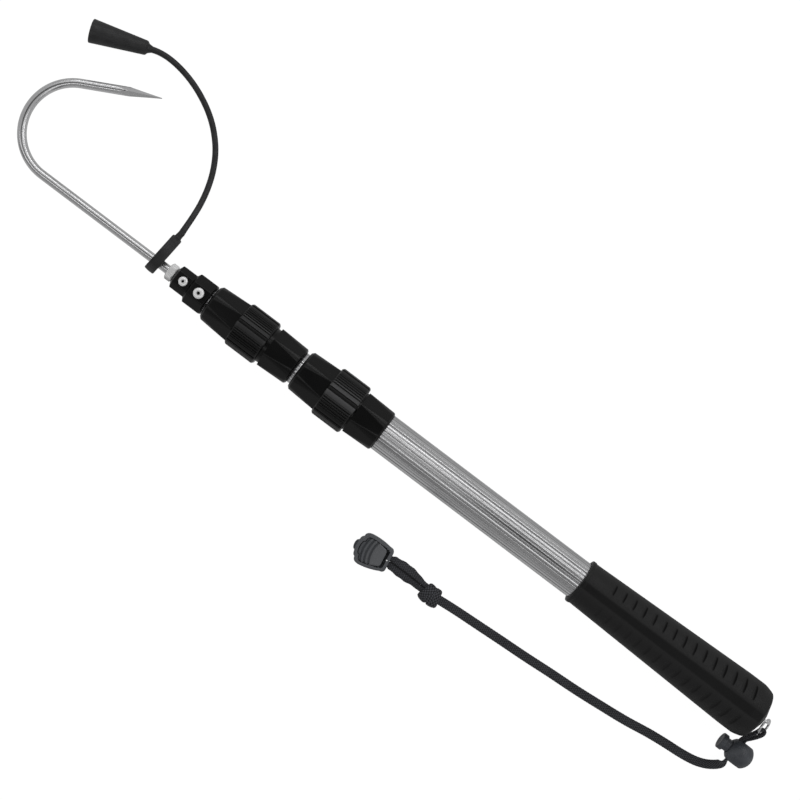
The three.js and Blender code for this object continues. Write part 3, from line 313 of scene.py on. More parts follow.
def along_line(line: Array) -> Array:
    """The distance along a line at each of its points."""
    return np.concatenate([[0], np.cumsum(np.linalg.norm(np.diff(line, axis=0), axis=1))])


def swept(line: Array, across: Array, sections: Array, **measures: Array) -> Skin:
    """A skin round a line.

    Args:
        line: the points that it follows.
        across: at each point, roughly the direction of a section's first axis.
        sections: the sections' points, in an array of rows by columns by 2.
        measures: what is measured at each point.

    Returns:
        The closed skin.
    """
    heading = unit(np.gradient(line, axis=0))
    wide = unit(across - (across * heading).sum(axis=1, keepdims=True) * heading)
    thin = np.cross(heading, wide)
    rings = line[:, None] + sections[..., :1] * wide[:, None] + sections[..., 1:] * thin[:, None]
    return through_rings(rings, measures)


def round_sections(radii: Array, columns: int) -> Array:
    """Round sections, one for each radius."""
    turns = angles(columns)
    return radii[:, None, None] * np.stack([np.cos(turns), np.sin(turns)], axis=-1)


def torus(ring_radius: float, wire_radius: float, columns: int = 20, steps: int = 72) -> Skin:
    """A wire ring in the XY plane round the origin.

    Args:
        ring_radius: from the origin to the wire's middle.
        wire_radius: half the wire's thickness.
        columns: the points round the wire.
        steps: the points round the ring.

    Returns:
        The skin, with the places along and around the wire as measures.
    """
    turns = angles(steps)[:, None]
    tilt = angles(columns)[None, :]
    reach = ring_radius + wire_radius * np.cos(tilt)
    height = wire_radius * np.sin(tilt) + 0 * turns
    rings = np.stack([reach * np.cos(turns), reach * np.sin(turns), height], axis=-1)
    places = np.repeat(turns * ring_radius, columns, axis=1)
    round_it = np.repeat(tilt / TURN, steps, axis=0)
    return through_rings(rings, {"along": places, "around": round_it}, closed=True)


def standing(node: str) -> Matrix:
    """The place of a body turned about X that stands upright in the middle of a solid's box."""
    low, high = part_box(node)
    return Matrix.Translation(((low.x + high.x) / 2, (low.y + high.y) / 2, 0)) @ turn_about("Y", -90)


def turn_about(side: str, degrees: float) -> Matrix:
    """A turn about an axis."""
    return Matrix.Rotation(math.radians(degrees), 4, side)


def hexagon(turns: Array, corner: float) -> Array:
    """The radii of a hexagon, from its radius at the corners."""
    sixth = TURN / 6
    return corner * math.cos(sixth / 2) / np.cos((turns + sixth / 2) % sixth - sixth / 2)


def all_along(line: Array, direction: Point) -> Array:
    """The same direction at each point of a line."""
    return np.tile(np.array(direction, float), (len(line), 1))


def level(outline: Array, height: float) -> Array:
    """An outline's points at a height."""
    return np.column_stack([outline, np.full(len(outline), height)])


def box_skin(low: Point, high: Point) -> Skin:
    """A plain block, for joining to or cutting from a moulding."""
    faces = [[0, 1, 3, 2], [4, 6, 7, 5], [0, 4, 5, 1], [2, 3, 7, 6], [0, 2, 6, 4], [1, 5, 7, 3]]
    return Skin(np.array(list(product(*zip(low, high)))), faces)


def turned(profile: Array, columns: int, height: float = 0.0, **measures: Array) -> Skin:
    """A body turned about an axis along X, from its profile of X places and radii."""
    grids = {name: values[:, None] + np.zeros(columns) for name, values in measures.items()}
    return through_rings(round_axis(*stacked(profile, columns), angles(columns), height), grids)


def to_mesh(name: str, skin: Skin) -> Mesh:
    """A Blender mesh of a skin, with its faces turned outwards.

    Args:
        name: the mesh's name.
        skin: the surface.

    Returns:
        The mesh, with each measure as a point attribute.
    """
    mesh = bpy.data.meshes.new(name)
    mesh.from_pydata(skin.points.tolist(), [], skin.faces)
    builder = bmesh.new()
    builder.from_mesh(mesh)
    bmesh.ops.recalc_face_normals(builder, faces=builder.faces)
    builder.to_mesh(mesh)
    builder.free()
    for measure, values in skin.measures.items():
        layer = mesh.attributes.new(measure, "FLOAT", "POINT")
        layer.data.foreach_set("value", np.asarray(values, np.float32))
    return mesh


def linked(name: str, shape: Skin | ID) -> Object:
    """An object of a skin, a mesh, a light or a camera, in the scene.

    Args:
        name: the object's name.
        shape: what it shows.

    Returns:
        The object.
    """
    made = bpy.data.objects.new(name, to_mesh(name, shape) if isinstance(shape, Skin) else shape)
    bpy.context.scene.collection.objects.link(made)
    return made


def combine(body: Object, operation: str, tool: Object) -> None:
    """Adds an exact boolean with a tool to a body."""
    change = body.modifiers.new(operation, "BOOLEAN")
    change.operation, change.object, change.solver = operation, tool, "EXACT"


def evaluated(body: Object) -> Mesh:
    """A new mesh of a body with its modifiers applied."""
    bpy.context.view_layer.update()
    return bpy.data.meshes.new_from_object(body.evaluated_get(bpy.context.evaluated_depsgraph_get()))


def moulded(name: str, adds: Sequence[Skin], cuts: Sequence[Skin], voxel: float, soften: int) -> Mesh:
    """A moulding: bodies joined, others cut from them, and every edge softened.

    Args:
        name: the mesh's name.
        adds: the bodies to join.
        cuts: the bodies to cut away.
        voxel: the size of the grid on which it is made.
        soften: how many times it is smoothed.

    Returns:
        The finished mesh.
    """
    body = linked(name, adds[0])
    tools = []
    for kind, skins in (("UNION", adds[1:]), ("DIFFERENCE", cuts)):
        for skin in skins:
            tools.append(linked(name + "_tool", skin))
            combine(body, kind, tools[-1])
    remesh = body.modifiers.new("remesh", "REMESH")
    remesh.mode = "VOXEL"
    remesh.voxel_size = voxel
    smooth = body.modifiers.new("smooth", "SMOOTH")
    smooth.factor = SMOOTH_FACTOR
    smooth.iterations = soften
    mesh = evaluated(body)
    mesh.name = name
    for done in [body, *tools]:
        bpy.data.objects.remove(done)
    return mesh


# Shader maths


class Wire:
    """A value that runs from one shader node to another. Sums with it add Math nodes."""

    def __init__(self, graph: "Graph", socket: NodeSocket) -> None:
        """Wraps a socket of a graph."""
        self.graph = graph
        self.socket = socket

    def _maths(self, operation: str, *values: Any) -> "Wire":
        """The result of a Math node."""
        return self.graph.add("ShaderNodeMath", {"operation": operation}, dict(enumerate(values)))[0]

    def __add__(self, other: Any) -> "Wire":
        """The sum."""
        return self._maths("ADD", self, other)

    __radd__ = __add__

    def __sub__(self, other: Any) -> "Wire":
        """The difference."""
        return self._maths("SUBTRACT", self, other)

    def __rsub__(self, other: Any) -> "Wire":
        """The difference, from a number."""
        return self._maths("SUBTRACT", other, self)

    def __mul__(self, other: Any) -> "Wire":
        """The product."""
        return self._maths("MULTIPLY", self, other)

    __rmul__ = __mul__

    def clamped(self, low: float = 0.0, high: float = 1.0) -> "Wire":
        """The value, kept between two numbers."""
        return self._maths("MINIMUM", self._maths("MAXIMUM", self, low), high)

    def rise(self, low: float, high: float) -> "Wire":
        """A smooth rise from 0 at the low value to 1 at the high one."""
        settings = {"interpolation_type": "SMOOTHSTEP"}
        return self.graph.add("ShaderNodeMapRange", settings, {0: self, 1: low, 2: high})[0]


class Graph:
    """The node graph of one material or world."""

    def __init__(self, tree: NodeTree) -> None:
        """Starts an empty graph in a node tree."""
        self.tree = tree
        tree.nodes.clear()

    def add(self, kind: str, settings: Mapping[str, Any] | None = None,
            inputs: Mapping[Any, Any] | None = None) -> list[Wire]:
        """Adds one node.

        Args:
            kind: the node's type.
            settings: its settings, set first.
            inputs: the values or links of its sockets, by name or by number.

        Returns:
            The node's outputs.
        """
        node = self.tree.nodes.new(kind)
        for name, value in (settings or {}).items():
            setattr(node, name, value)
        for name, value in (inputs or {}).items():
            if isinstance(value, Wire):
                self.tree.links.new(value.socket, node.inputs[name])
            else:
                node.inputs[name].default_value = value
        return [Wire(self, socket) for socket in node.outputs]

    def measure(self, name: str) -> Wire:
        """A measure that the mesh carries at its points."""
        return self.add("ShaderNodeAttribute", {"attribute_name": name})[2]

    def places(self, stretch: Point) -> Wire:
        """The object's own coordinates, stretched."""
        own = self.add("ShaderNodeTexCoord")[3]
        return self.add("ShaderNodeVectorMath", {"operation": "MULTIPLY"}, {0: own, 1: stretch})[0]

    def noise(self, scale: float, detail: float, rough: float = 0.5, where: Wire | Point = (1, 1, 1)) -> Wire:
        """A noise value about one half, at given places or in the object's own coordinates, stretched."""
        values = {"Vector": where if isinstance(where, Wire) else self.places(where), "Scale": scale}
        return self.add("ShaderNodeTexNoise", None, {**values, "Detail": detail, "Roughness": rough})[0]

    def mixed(self, share: Any, first: Any, second: Any) -> Wire:
        """A colour between two colours."""
        colours = [(*c, 1) if isinstance(c, tuple) else c for c in (first, second)]
        return self.add("ShaderNodeMix", {"data_type": "RGBA"}, {0: share, 6: colours[0], 7: colours[1]})[2]

    def bump(self, height: Wire, depth: float, strength: float) -> Wire:
        """A normal bent by a height, of the given depth."""
        return self.add("ShaderNodeBump", None, {"Strength": strength, "Distance": depth, "Height": height})[0]


# Finishes


@dataclass(frozen=True)
class Finish:
    """What every finish shares: its name, which also names its material."""

    name: str = ""

    def shader(self, graph: Graph) -> dict[str, Any]:
        """What each finish gives the surface shader.

        Args:
            graph: the material's graph, in which the values are made.

        Returns:
            The shader's inputs, by socket.
        """
        raise NotImplementedError

    def material(self) -> Material:
        """The finish as a material, made once.

        Returns:
            The material.
        """
        made = bpy.data.materials.get("finish_" + self.name)
        if made is None:
            made = bpy.data.materials.new("finish_" + self.name)
            made.use_nodes = True
            graph = Graph(made.node_tree)
            surface = graph.add("ShaderNodeBsdfPrincipled", None, self.shader(graph))[0]
            graph.add("ShaderNodeOutputMaterial", None, {"Surface": surface})
        return made


@dataclass(frozen=True)
class FlutedAluminium(Finish):
    """Drawn aluminium tube, anodised, with fine lines along its length, and painted shade in its flute valleys."""

    name: str = "fluted_aluminium"
    pale: Point = (0.80, 0.80, 0.81)
    dull: Point = (0.17, 0.17, 0.175)
    line_stretch: Point = (3, 900, 900)
    patch_stretch: Point = (40, 160, 160)
    base_roughness: float = 0.16
    line_depth: float = 0.00003

    def shader(self, graph: Graph) -> dict[str, Any]:
        """The inputs of the surface shader, as in Finish."""
        lines = graph.noise(1.0, 2.0, 0.6, self.line_stretch)
        patches = graph.noise(1.0, 3.0, where=self.patch_stretch)
        valley = graph.measure("valley")
        # Painted shade: the valley measure gives the flute valleys, ends and bore the dull colour; the patches and
        # lines add tone that varies.
        worn = (valley * 0.8 + (patches - 0.5) * 0.3 + (lines - 0.42) * 1.2).clamped()
        return {
            "Base Color": graph.mixed(worn, self.pale, self.dull),
            "Metallic": 1.0,
            "Roughness": (self.base_roughness + lines * 0.14 + valley * 0.2).clamped(),
            "Normal": graph.bump(lines, self.line_depth, 0.3),
        }


@dataclass(frozen=True)
class GripRubber(Finish):
    """Moulded rubber with a fine grain: smooth on its flat bands, matt and paler where the grooves are, with painted
    shade on the grooves' walls towards the butt.
    """

    name: str = "grip_rubber"
    body: Point = (0.0034, 0.0034, 0.0035)
    matt: Point = (0.0118, 0.0118, 0.012)
    shade: Point = (0.001, 0.001, 0.001)
    grain_scale: float = 2600
    cloud_scale: float = 70
    cloud_stretch: Point = (0.6, 1, 1)
    base_roughness: float = 0.42
    grain_depth: float = 0.00012

    def shader(self, graph: Graph) -> dict[str, Any]:
        """The inputs of the surface shader, as in Finish."""
        grain = graph.noise(self.grain_scale, 2.0, 0.6)
        clouds = graph.noise(self.cloud_scale, 3.0, where=self.cloud_stretch)
        # Painted shade: the groove measure darkens each groove's wall towards the butt, less on the +Y rows.
        groove = graph.measure("groove")
        zone = graph.measure("zone")
        bare = graph.mixed((zone + (clouds - 0.5) * 0.3).clamped(), self.body, self.matt)
        return {
            "Base Color": graph.mixed(groove.clamped(), bare, self.shade),
            "Roughness": (self.base_roughness + zone * 0.12 + (grain - 0.5) * 0.2 + (clouds - 0.5) * 0.15
                          + groove * 0.5).clamped(),
            "Specular IOR Level": 0.3,
            "Normal": graph.bump(grain, self.grain_depth, 0.5),
        }


@dataclass(frozen=True)
class GlossCollar(Finish):
    """Polished black moulding with light handling scratches, and a painted highlight on the tops of the lock nuts'
    ribs.
    """

    name: str = "gloss_collar"
    body: Point = (0.0036, 0.0036, 0.0037)
    rubbed: Point = (0.008, 0.008, 0.0082)
    rib_highlight: Point = (0.085, 0.085, 0.087)
    swirl_stretch: Point = (1, 1.6, 1.6)
    swirl_scale: float = 45
    scratch_stretch: Point = (60, 1400, 1400)
    skin_scale: float = 900
    base_roughness: float = 0.26
    skin_depth: float = 0.00002

    def shader(self, graph: Graph) -> dict[str, Any]:
        """The inputs of the surface shader, as in Finish."""
        swirl = graph.noise(self.swirl_scale, 4.0, where=self.swirl_stretch)
        hair = graph.noise(1.0, 2.0, where=self.scratch_stretch)
        skin = graph.noise(self.skin_scale, 2.0)
        rubbed = (hair.rise(0.62, 0.8) * 0.6 + (swirl - 0.5) * 0.5).clamped()
        return {
            # Painted highlight: the nut's measure pales its ribs' tops on the upper side, towards the key light.
            "Base Color": graph.mixed(graph.measure("worn"), graph.mixed(rubbed, self.body, self.rubbed), self.rib_highlight),
            "Roughness": (self.base_roughness + (swirl - 0.5) * 0.16 + hair.rise(0.6, 0.85) * 0.12).clamped(),
            "Specular IOR Level": 0.3,
            "Normal": graph.bump(skin, self.skin_depth, 0.5),
        }


@dataclass(frozen=True)
class GuardRubber(Finish):
    """Soft matt rubber of the tip guard."""

    name: str = "guard_rubber"
    body: Point = (0.0125, 0.0125, 0.0135)
    dusty: Point = (0.022, 0.022, 0.023)
    grain_scale: float = 1900
    cloud_scale: float = 160
    base_roughness: float = 0.5
    grain_depth: float = 0.00008

    def shader(self, graph: Graph) -> dict[str, Any]:
        """The inputs of the surface shader, as in Finish."""
        grain = graph.noise(self.grain_scale, 3.0, 0.6)
        clouds = graph.noise(self.cloud_scale, 3.0)
        return {
            "Base Color": graph.mixed(clouds.rise(0.4, 0.75), self.body, self.dusty),
            "Roughness": (self.base_roughness + (grain - 0.5) * 0.3 + (clouds - 0.5) * 0.2).clamped(),
            "Normal": graph.bump(grain, self.grain_depth, 0.5),
        }


@dataclass(frozen=True)
class Stainless(Finish):
    """Polished stainless wire with fine lines along it."""

    name: str = "stainless"
    pale: Point = (0.86, 0.86, 0.87)
    dull: Point = (0.6, 0.6, 0.61)
    lines_along: float = 60
    lines_around: float = 70
    stain_scale: float = 120
    base_roughness: float = 0.17
    line_depth: float = 0.00002

    def shader(self, graph: Graph) -> dict[str, Any]:
        """The inputs of the surface shader, as in Finish."""
        along = graph.measure("along") * self.lines_along
        around = graph.measure("around") * self.lines_around
        wound = graph.add("ShaderNodeCombineXYZ", None, {0: along, 1: around, 2: 0.0})[0]
        lines = graph.noise(1.0, 3.0, 0.6, wound)
        stains = graph.noise(self.stain_scale, 3.0)
        return {
            "Base Color": graph.mixed(((stains - 0.45) * 0.9 + (lines - 0.5) * 0.4).clamped(), self.pale, self.dull),
            "Metallic": 1.0,
            "Roughness": (self.base_roughness + lines * 0.1 + (stains - 0.5) * 0.1).clamped(0.05, 1.0),
            "Normal": graph.bump(lines, self.line_depth, 0.4),
        }


@dataclass(frozen=True)
class ScrewSteel(Finish):
    """Bright plated steel of the small hardware."""

    name: str = "screw_steel"
    pale: Point = (0.96, 0.96, 0.96)
    dull: Point = (0.74, 0.74, 0.75)
    painted_darkness: Point = (0.01, 0.01, 0.01)
    spot_scale: float = 700
    rub_scale: float = 2600
    rub_stretch: Point = (1, 1, 0.2)
    base_roughness: float = 0.16
    rub_depth: float = 0.00002

    def shader(self, graph: Graph) -> dict[str, Any]:
        """The inputs of the surface shader, as in Finish."""
        spots = graph.noise(self.spot_scale, 3.0)
        rub = graph.noise(self.rub_scale, 2.0, where=self.rub_stretch)
        plated = graph.mixed(spots.rise(0.5, 0.8), self.pale, self.dull)
        return {
            # Painted shade: the hexagon sockets of the screws and the +Y side of the jam nut take the near-black
            # colour.
            "Base Color": graph.mixed(graph.measure("deep"), plated, self.painted_darkness),
            "Metallic": 0.35,
            "Roughness": (self.base_roughness + rub * 0.12).clamped(),
            "Normal": graph.bump(rub, self.rub_depth, 0.5),
        }


@dataclass(frozen=True)
class DarkMoulding(Finish):
    """Slate-grey moulding with a fine eroded texture."""

    name: str = "dark_moulding"
    body: Point = (0.044, 0.048, 0.056)
    worn: Point = (0.068, 0.074, 0.084)
    polished: Point = (0.105, 0.108, 0.115)
    shade: Point = (0.008, 0.008, 0.009)
    grain_scale: float = 3000
    cloud_scale: float = 140
    base_roughness: float = 0.42
    grain_depth: float = 0.00006

    def shader(self, graph: Graph) -> dict[str, Any]:
        """The inputs of the surface shader, as in Finish."""
        grain = graph.noise(self.grain_scale, 2.0, 0.6)
        clouds = graph.noise(self.cloud_scale, 3.0)
        plain = graph.mixed(clouds.rise(0.4, 0.8), self.body, self.worn)
        handled = graph.mixed(graph.measure("handled"), plain, self.polished)
        return {
            # Painted shade: the shade colour darkens the clip lever's valleys.
            "Base Color": graph.mixed(graph.measure("deep"), handled, self.shade),
            "Roughness": (self.base_roughness + (grain - 0.5) * 0.2 + (clouds - 0.5) * 0.15).clamped(),
            "Normal": graph.bump(grain, self.grain_depth, 0.5),
        }


@dataclass(frozen=True)
class Braid(Finish):
    """Flat braided cord of charcoal yarn, with painted shade between its strands and along the eye's slit."""

    name: str = "braid"
    yarn: Point = (0.078, 0.080, 0.09)
    gap: Point = (0.004, 0.004, 0.005)
    threads_along: float = 900
    threads_across: float = 26
    cloud_scale: float = 110
    base_roughness: float = 0.78
    thread_depth: float = 0.00012

    def shader(self, graph: Graph) -> dict[str, Any]:
        """The inputs of the surface shader, as in Finish."""
        plait = graph.measure("plait")
        across = graph.measure("fibre") * self.threads_across
        along = graph.measure("along") * self.threads_along
        threads = graph.add("ShaderNodeCombineXYZ", None, {0: along, 1: across, 2: 0.0})[0]
        fuzz = graph.noise(1.0, 2.0, 0.7, threads)
        clouds = graph.noise(self.cloud_scale, 2.0)
        # Painted shade: the gap colour darkens the plait's low places.
        lit = (plait.rise(0.25, 0.95) * 0.8 + (fuzz - 0.5) * 0.6 + (clouds - 0.5) * 0.3).clamped()
        return {
            "Base Color": graph.mixed(graph.measure("deep"), graph.mixed(lit, self.gap, self.yarn), self.gap),
            "Roughness": (self.base_roughness + (fuzz - 0.5) * 0.3).clamped(),
            "Specular IOR Level": 0.3,
            "Sheen Weight": 0.12,
            "Sheen Roughness": 0.4,
            "Normal": graph.bump(fuzz, self.thread_depth, 0.7),
        }


@dataclass(frozen=True)
class InnerNylon(Finish):
    """Pale nylon of the clamp rings, bushes and plug inside."""

    name: str = "inner_nylon"
    body: Point = (0.68, 0.66, 0.6)
    marked: Point = (0.5, 0.48, 0.43)
    cloud_scale: float = 180
    base_roughness: float = 0.4
    cloud_depth: float = 0.00005

    def shader(self, graph: Graph) -> dict[str, Any]:
        """The inputs of the surface shader, as in Finish."""
        clouds = graph.noise(self.cloud_scale, 4.0)
        return {
            "Base Color": graph.mixed(clouds.rise(0.5, 0.8), self.body, self.marked),
            "Roughness": (self.base_roughness + (clouds - 0.5) * 0.3).clamped(),
            "Normal": graph.bump(clouds, self.cloud_depth, 0.3),
        }


# Placing


def lay(name: str, shape: Skin | Mesh, finish: Finish, body: Body, nodes: Sequence[str] = (),
        crease: float = 38.0) -> Object:
    """Puts a finished piece in the frame.

    Args:
        name: the piece's name.
        shape: its skin or its mesh.
        finish: its finish.
        body: the body that it rides on.
        nodes: the solids that it stands for.
        crease: the angle in degrees above which an edge shows sharp.

    Returns:
        The piece.
    """
    made = linked(name, shape)
    mesh = made.data
    mesh.shade_smooth()
    mesh.set_sharp_from_angle(angle=math.radians(crease))
    mesh.materials.clear()
    mesh.materials.append(finish.material())
    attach(made, body.value)
    if nodes:
        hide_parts(*nodes)
    LOG.info("%s: %d faces on %s", name, len(mesh.polygons), body.value)
    return made


def dress(finish: Finish, *nodes: str) -> None:
    """Gives solids that stay as they are their finish.

    Args:
        finish: the finish.
        nodes: the solids.
    """
    for node in nodes:
        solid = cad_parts[node]
        solid.data.materials.clear()
        solid.data.materials.append(finish.material())
        LOG.info("%s keeps its solid, in %s", node, finish.name)


def span(node: str, side: int = 0) -> Pair:
    """The lowest and highest place of a solid along one side of its box."""
    low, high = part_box(node)
    return low[side], high[side]


def axis_height() -> float:
    """The height of the pole's axis."""
    return sum(span("outer_tube", 2)) / 2


def round_pole(stations: Array, radii: Array, turns: Array, **measures: Array) -> Skin:
    """A hollow body round the pole's axis, from its outside through its bore."""
    return through_rings(round_axis(stations, radii, turns, axis_height()), measures, closed=True)


# Sub-assemblies


@dataclass
class Pole:
    """The three fluted tubes, one inside the other."""

    flute_pitch: float = 0.0028
    flute_depth: float = 0.00036
    flute_variation: float = 0.45
    flute_wander: float = 2.4
    valley_sharpness: float = 3.6
    wall: float = 0.0009
    end_chamfer: float = 0.00025
    points_per_flute: int = 14
    finish: Finish = FlutedAluminium()

    def tube(self, node: str) -> Skin:
        """A fluted tube as long and as wide as its solid.

        Args:
            node: the solid's name.

        Returns:
            The closed skin of the tube's wall, with the painted shade of its flute valleys, ends and bore as a measure.
        """
        start, end = span(node)
        low, high = span(node, 2)
        radius = (high - low) / 2
        flutes = 2 * round(math.pi * radius / self.flute_pitch)
        turns = angles(flutes * self.points_per_flute)
        phase = (turns / TURN * flutes + 0.5) % 1 - 0.5
        number = np.floor(turns / TURN * flutes)
        uneven = 1 - self.flute_variation * (0.5 + 0.5 * np.cos(self.flute_wander * number))
        sunk = uneven * np.abs(2 * phase) ** self.valley_sharpness
        outside = radius - self.flute_depth * sunk
        bore = radius - self.flute_depth - self.wall + 0 * turns
        chamfer = self.end_chamfer
        rows = [
            (start, bore, 1.0), (start, outside - chamfer, 1.0), (start + chamfer, outside, sunk),
            (end - chamfer, outside, sunk), (end, outside - chamfer, 1.0), (end, bore, 1.0),
        ]
        stations, radii = stacked(rows, len(turns))
        # Painted shade: darkest at each flute's bottom, and full on the ends and bore.
        valley = np.stack([row[2] + 0 * turns for row in rows])
        return round_pole(stations, radii, turns, valley=valley)

    def build(self) -> None:
        """Makes the three tubes and dresses the pieces inside them."""
        for node, body in (("outer_tube", Body.GRIP), ("middle_tube", Body.MIDDLE), ("inner_tube", Body.INNER)):
            lay(node + "_fluted", self.tube(node), self.finish, body, [node], crease=50)
        dress(InnerNylon(), "butt_plug", "middle_end_bush", "inner_end_bush")


@dataclass
class HandGrip:
    """The moulded grip: a tapering handle with four flat bands, a domed butt and four rows of grooves."""

    land_length: float = 0.010
    dome_length: float = 0.0122
    butt_half: float = 0.0184
    front_half: float = 0.0148
    butt_flat: float = 0.0045
    front_flat: float = 0.0016
    lip_height: float = 0.0005
    lip_length: float = 0.0032
    end_wall: float = 0.0066
    end_hole: float = 0.0049
    bore: float = 0.0129
    groove_count: int = 15
    groove_pitch: float = 0.00763
    first_groove: float = 0.018
    groove_half_floor: float = 0.0011
    groove_edge: float = 0.0011
    groove_flank: float = 1.7
    groove_reach: float = 0.6
    zone_angles: Pair = (7, 12)
    zone_ends: Pair = (68, 80)
    # Painted shade on the grooves' walls: its share on the +Y rows, and how much it fades towards the front there.
    far_row_share: float = 0.45
    far_row_fade: float = 0.6
    shown_depths: Pair = (0.00002, 0.00015)
    corner: float = 0.00008
    lip_shares: Pair = (0.66, 0.1)
    lip_corner: float = 0.0006
    rows: int = 520
    columns: int = 320
    groove_depths: Pair = (0.0006, 0.0003)
    row_angles: tuple[float, ...] = (-35, 35, -145, 145)
    slants: Pair = (7, 2)
    dome_shares: tuple[Pair, ...] = (
        (0, 1), (0.2, 0.975), (0.45, 0.93), (0.58, 0.895), (0.64, 0.86), (0.7, 0.79), (0.84, 0.56), (1, 0.3),
    )
    finish: Finish = GripRubber()

    def half_width(self, place: Array, rear: float, front: float) -> Array:
        """The flat bands' distance from the axis at places along the grip.

        Args:
            place: the places.
            rear: the place of the dome's apex.
            front: the place of the lip's end.

        Returns:
            The distance at each place.
        """
        dome_start = rear + self.dome_length
        land_end = dome_start + self.land_length
        along, share = np.array(self.dome_shares).T
        dome = self.butt_half * np.interp((dome_start - place) / self.dome_length, along, share)
        taper = np.interp(place, [land_end, front - self.lip_length], [self.butt_half, self.front_half])
        return np.where(place < dome_start, dome, taper)

    def groove_at(self, place: Array, turns: Array, reach: Array, rear: float) -> tuple[Array, Array]:
        """How deep the flat-floored grooves are cut at each point.

        Args:
            place: the place along the grip, in a column.
            turns: the angle round the grip, in a row.
            reach: the distance from the axis at each point.
            rear: the place of the dome's apex.

        Returns:
            The depth, and the painted shade on the groove's wall towards the butt, weaker on the +Y rows.
        """
        depth = np.zeros(reach.shape)
        wall_shade = np.zeros(reach.shape)
        for row in self.row_angles:
            side = math.copysign(1, row) * math.copysign(1, 90 - abs(row))
            offset = (turns - math.radians(row) + math.pi) % TURN - math.pi
            for number in range(self.groove_count):
                share = number / (self.groove_count - 1)
                middle = rear + self.first_groove + number * self.groove_pitch
                rows = np.abs(place[:, 0] - middle) < 0.5 * self.groove_pitch
                columns = np.abs(offset[0]) < self.groove_reach
                part = np.ix_(rows, columns)
                here = reach[part]
                tilt = math.radians(float(np.interp(share, [0, 1], self.slants)))
                across = here * np.sin(offset[:, columns])
                forward = place[rows] - middle
                sideways = forward * math.cos(tilt) - side * across * math.sin(tilt)
                crown = here[len(here) // 2].max()
                floor = crown - float(np.interp(share, [0, 1], self.groove_depths))
                flank = self.groove_flank * np.maximum(np.abs(sideways) - self.groove_half_floor, 0)
                sunk = here * np.cos(offset[:, columns]) - floor - flank
                cut = (sunk + np.sqrt(sunk ** 2 + (0.25 * self.groove_edge) ** 2)) / 2
                cut *= sunk > -self.groove_edge
                depth[part] = np.maximum(depth[part], cut)
                # Painted shade on the wall towards the butt, weaker and fading towards the front on the +Y rows.
                near_side = np.exp(-((sideways + self.groove_half_floor) / self.groove_edge) ** 2)
                near_side *= 1 if row < 0 else self.far_row_share * (1 - self.far_row_fade * share)
                wall_shade[part] = np.maximum(wall_shade[part], near_side * ease(cut, *self.shown_depths))
        return depth, wall_shade

    def skin(self) -> Skin:
        """The grip's closed skin, from its outside through its bore.

        Returns:
            The skin, with the painted shade on its grooves' walls and its grooved zones as measures.
        """
        rear, front = span("handle_grip")
        turns = angles(self.columns)
        outer = np.linspace(rear, front - self.lip_length, self.rows)
        lip_start, lip_end = (front - share * self.lip_length for share in self.lip_shares)
        lip = rounded([
            (front - self.lip_length, 0), (lip_start, self.lip_height), (lip_end, self.lip_height),
            (front, -self.lip_height),
        ], self.lip_corner)[1:]
        stations = np.concatenate([outer, lip[:, 0]])
        half = self.half_width(stations, rear, front)
        half[self.rows:] = self.front_half + lip[:, 1]
        flat = np.interp(stations, [rear + self.dome_length, front], [self.butt_flat, self.front_flat])
        flat *= np.minimum(half / self.butt_half, 1)
        reach = flats(turns, 4, half[:, None], np.hypot(half, flat)[:, None], self.corner)
        groove, wall_shade = self.groove_at(stations[:, None], turns[None, :], reach, rear)
        places, inside = stacked([
            (front, self.bore), (rear + self.end_wall, self.bore), (rear + self.end_wall, self.end_hole),
            (rear, self.end_hole),
        ], self.columns)
        stations = np.concatenate([stations, places])
        radii = np.vstack([reach - groove, inside])
        wall_shade = np.vstack([wall_shade, 0 * inside])
        from_band = np.abs((np.degrees(turns) + 90) % 180 - 90)
        zone = ease(from_band, *self.zone_angles) * (1 - ease(from_band, *self.zone_ends))
        return round_pole(stations, radii, turns, groove=wall_shade, zone=np.tile(zone, (len(stations), 1)))

    def build(self) -> None:
        """Makes the grip."""
        lay("rubber_grip", self.skin(), self.finish, Body.GRIP, ["handle_grip"], crease=60)


@dataclass
class ButtHardware:
    """The screw eye in the butt and the link ring in it."""

    eye_wire: float = 0.0008
    eye_ring: float = 0.0033
    stem: float = 0.0015
    collar: float = 0.0036
    collar_thickness: float = 0.0022
    grip_end_wall: float = 0.0066
    link_wire: float = 0.00075
    link_ring: float = 0.0054
    link_sideways: float = 0.0035
    link_lean: float = 33
    slack: float = 0.0003
    corner: float = 0.0003
    columns: int = 32
    finish: Finish = Stainless()

    def build(self) -> None:
        """Makes the screw eye and the link ring."""
        height = axis_height()
        rear, stem_end = span("butt_eye")
        middle = rear + self.eye_ring + self.eye_wire
        upright = Matrix.Translation((middle, 0, height)) @ turn_about("X", 90)
        ring = torus(self.eye_ring, self.eye_wire).placed(upright)
        collar_front = span("handle_grip")[0] + self.grip_end_wall
        collar_rear = collar_front - self.collar_thickness
        stem_start = middle + self.eye_ring - self.eye_wire / 2
        profile = rounded([
            (stem_start, 0), (stem_start, self.eye_wire), (middle + self.eye_ring + 3 * self.eye_wire, self.stem),
            (collar_rear, self.stem), (collar_rear, self.collar), (collar_front, self.collar),
            (collar_front, self.stem), (stem_end, self.stem), (stem_end, 0),
        ], self.corner)
        shank = turned(profile, self.columns, height, along=profile[:, 0], around=profile[:, 1])
        lay("screw_eye", ring + shank, self.finish, Body.GRIP, ["butt_eye"])
        lean = math.radians(self.link_lean)
        seat = self.eye_ring - self.eye_wire - self.link_wire - self.slack
        reach = math.sqrt(self.link_ring ** 2 - self.link_sideways ** 2)
        place = (middle - seat - reach * math.sin(lean), self.link_sideways, height - reach * math.cos(lean))
        stand = Matrix.Translation(place) @ Matrix.Rotation(QUARTER + lean, 4, "Y")
        link = torus(self.link_ring, self.link_wire).placed(stand)
        lay("lanyard_link", link, self.finish, Body.LANYARD, ["link_ring"])


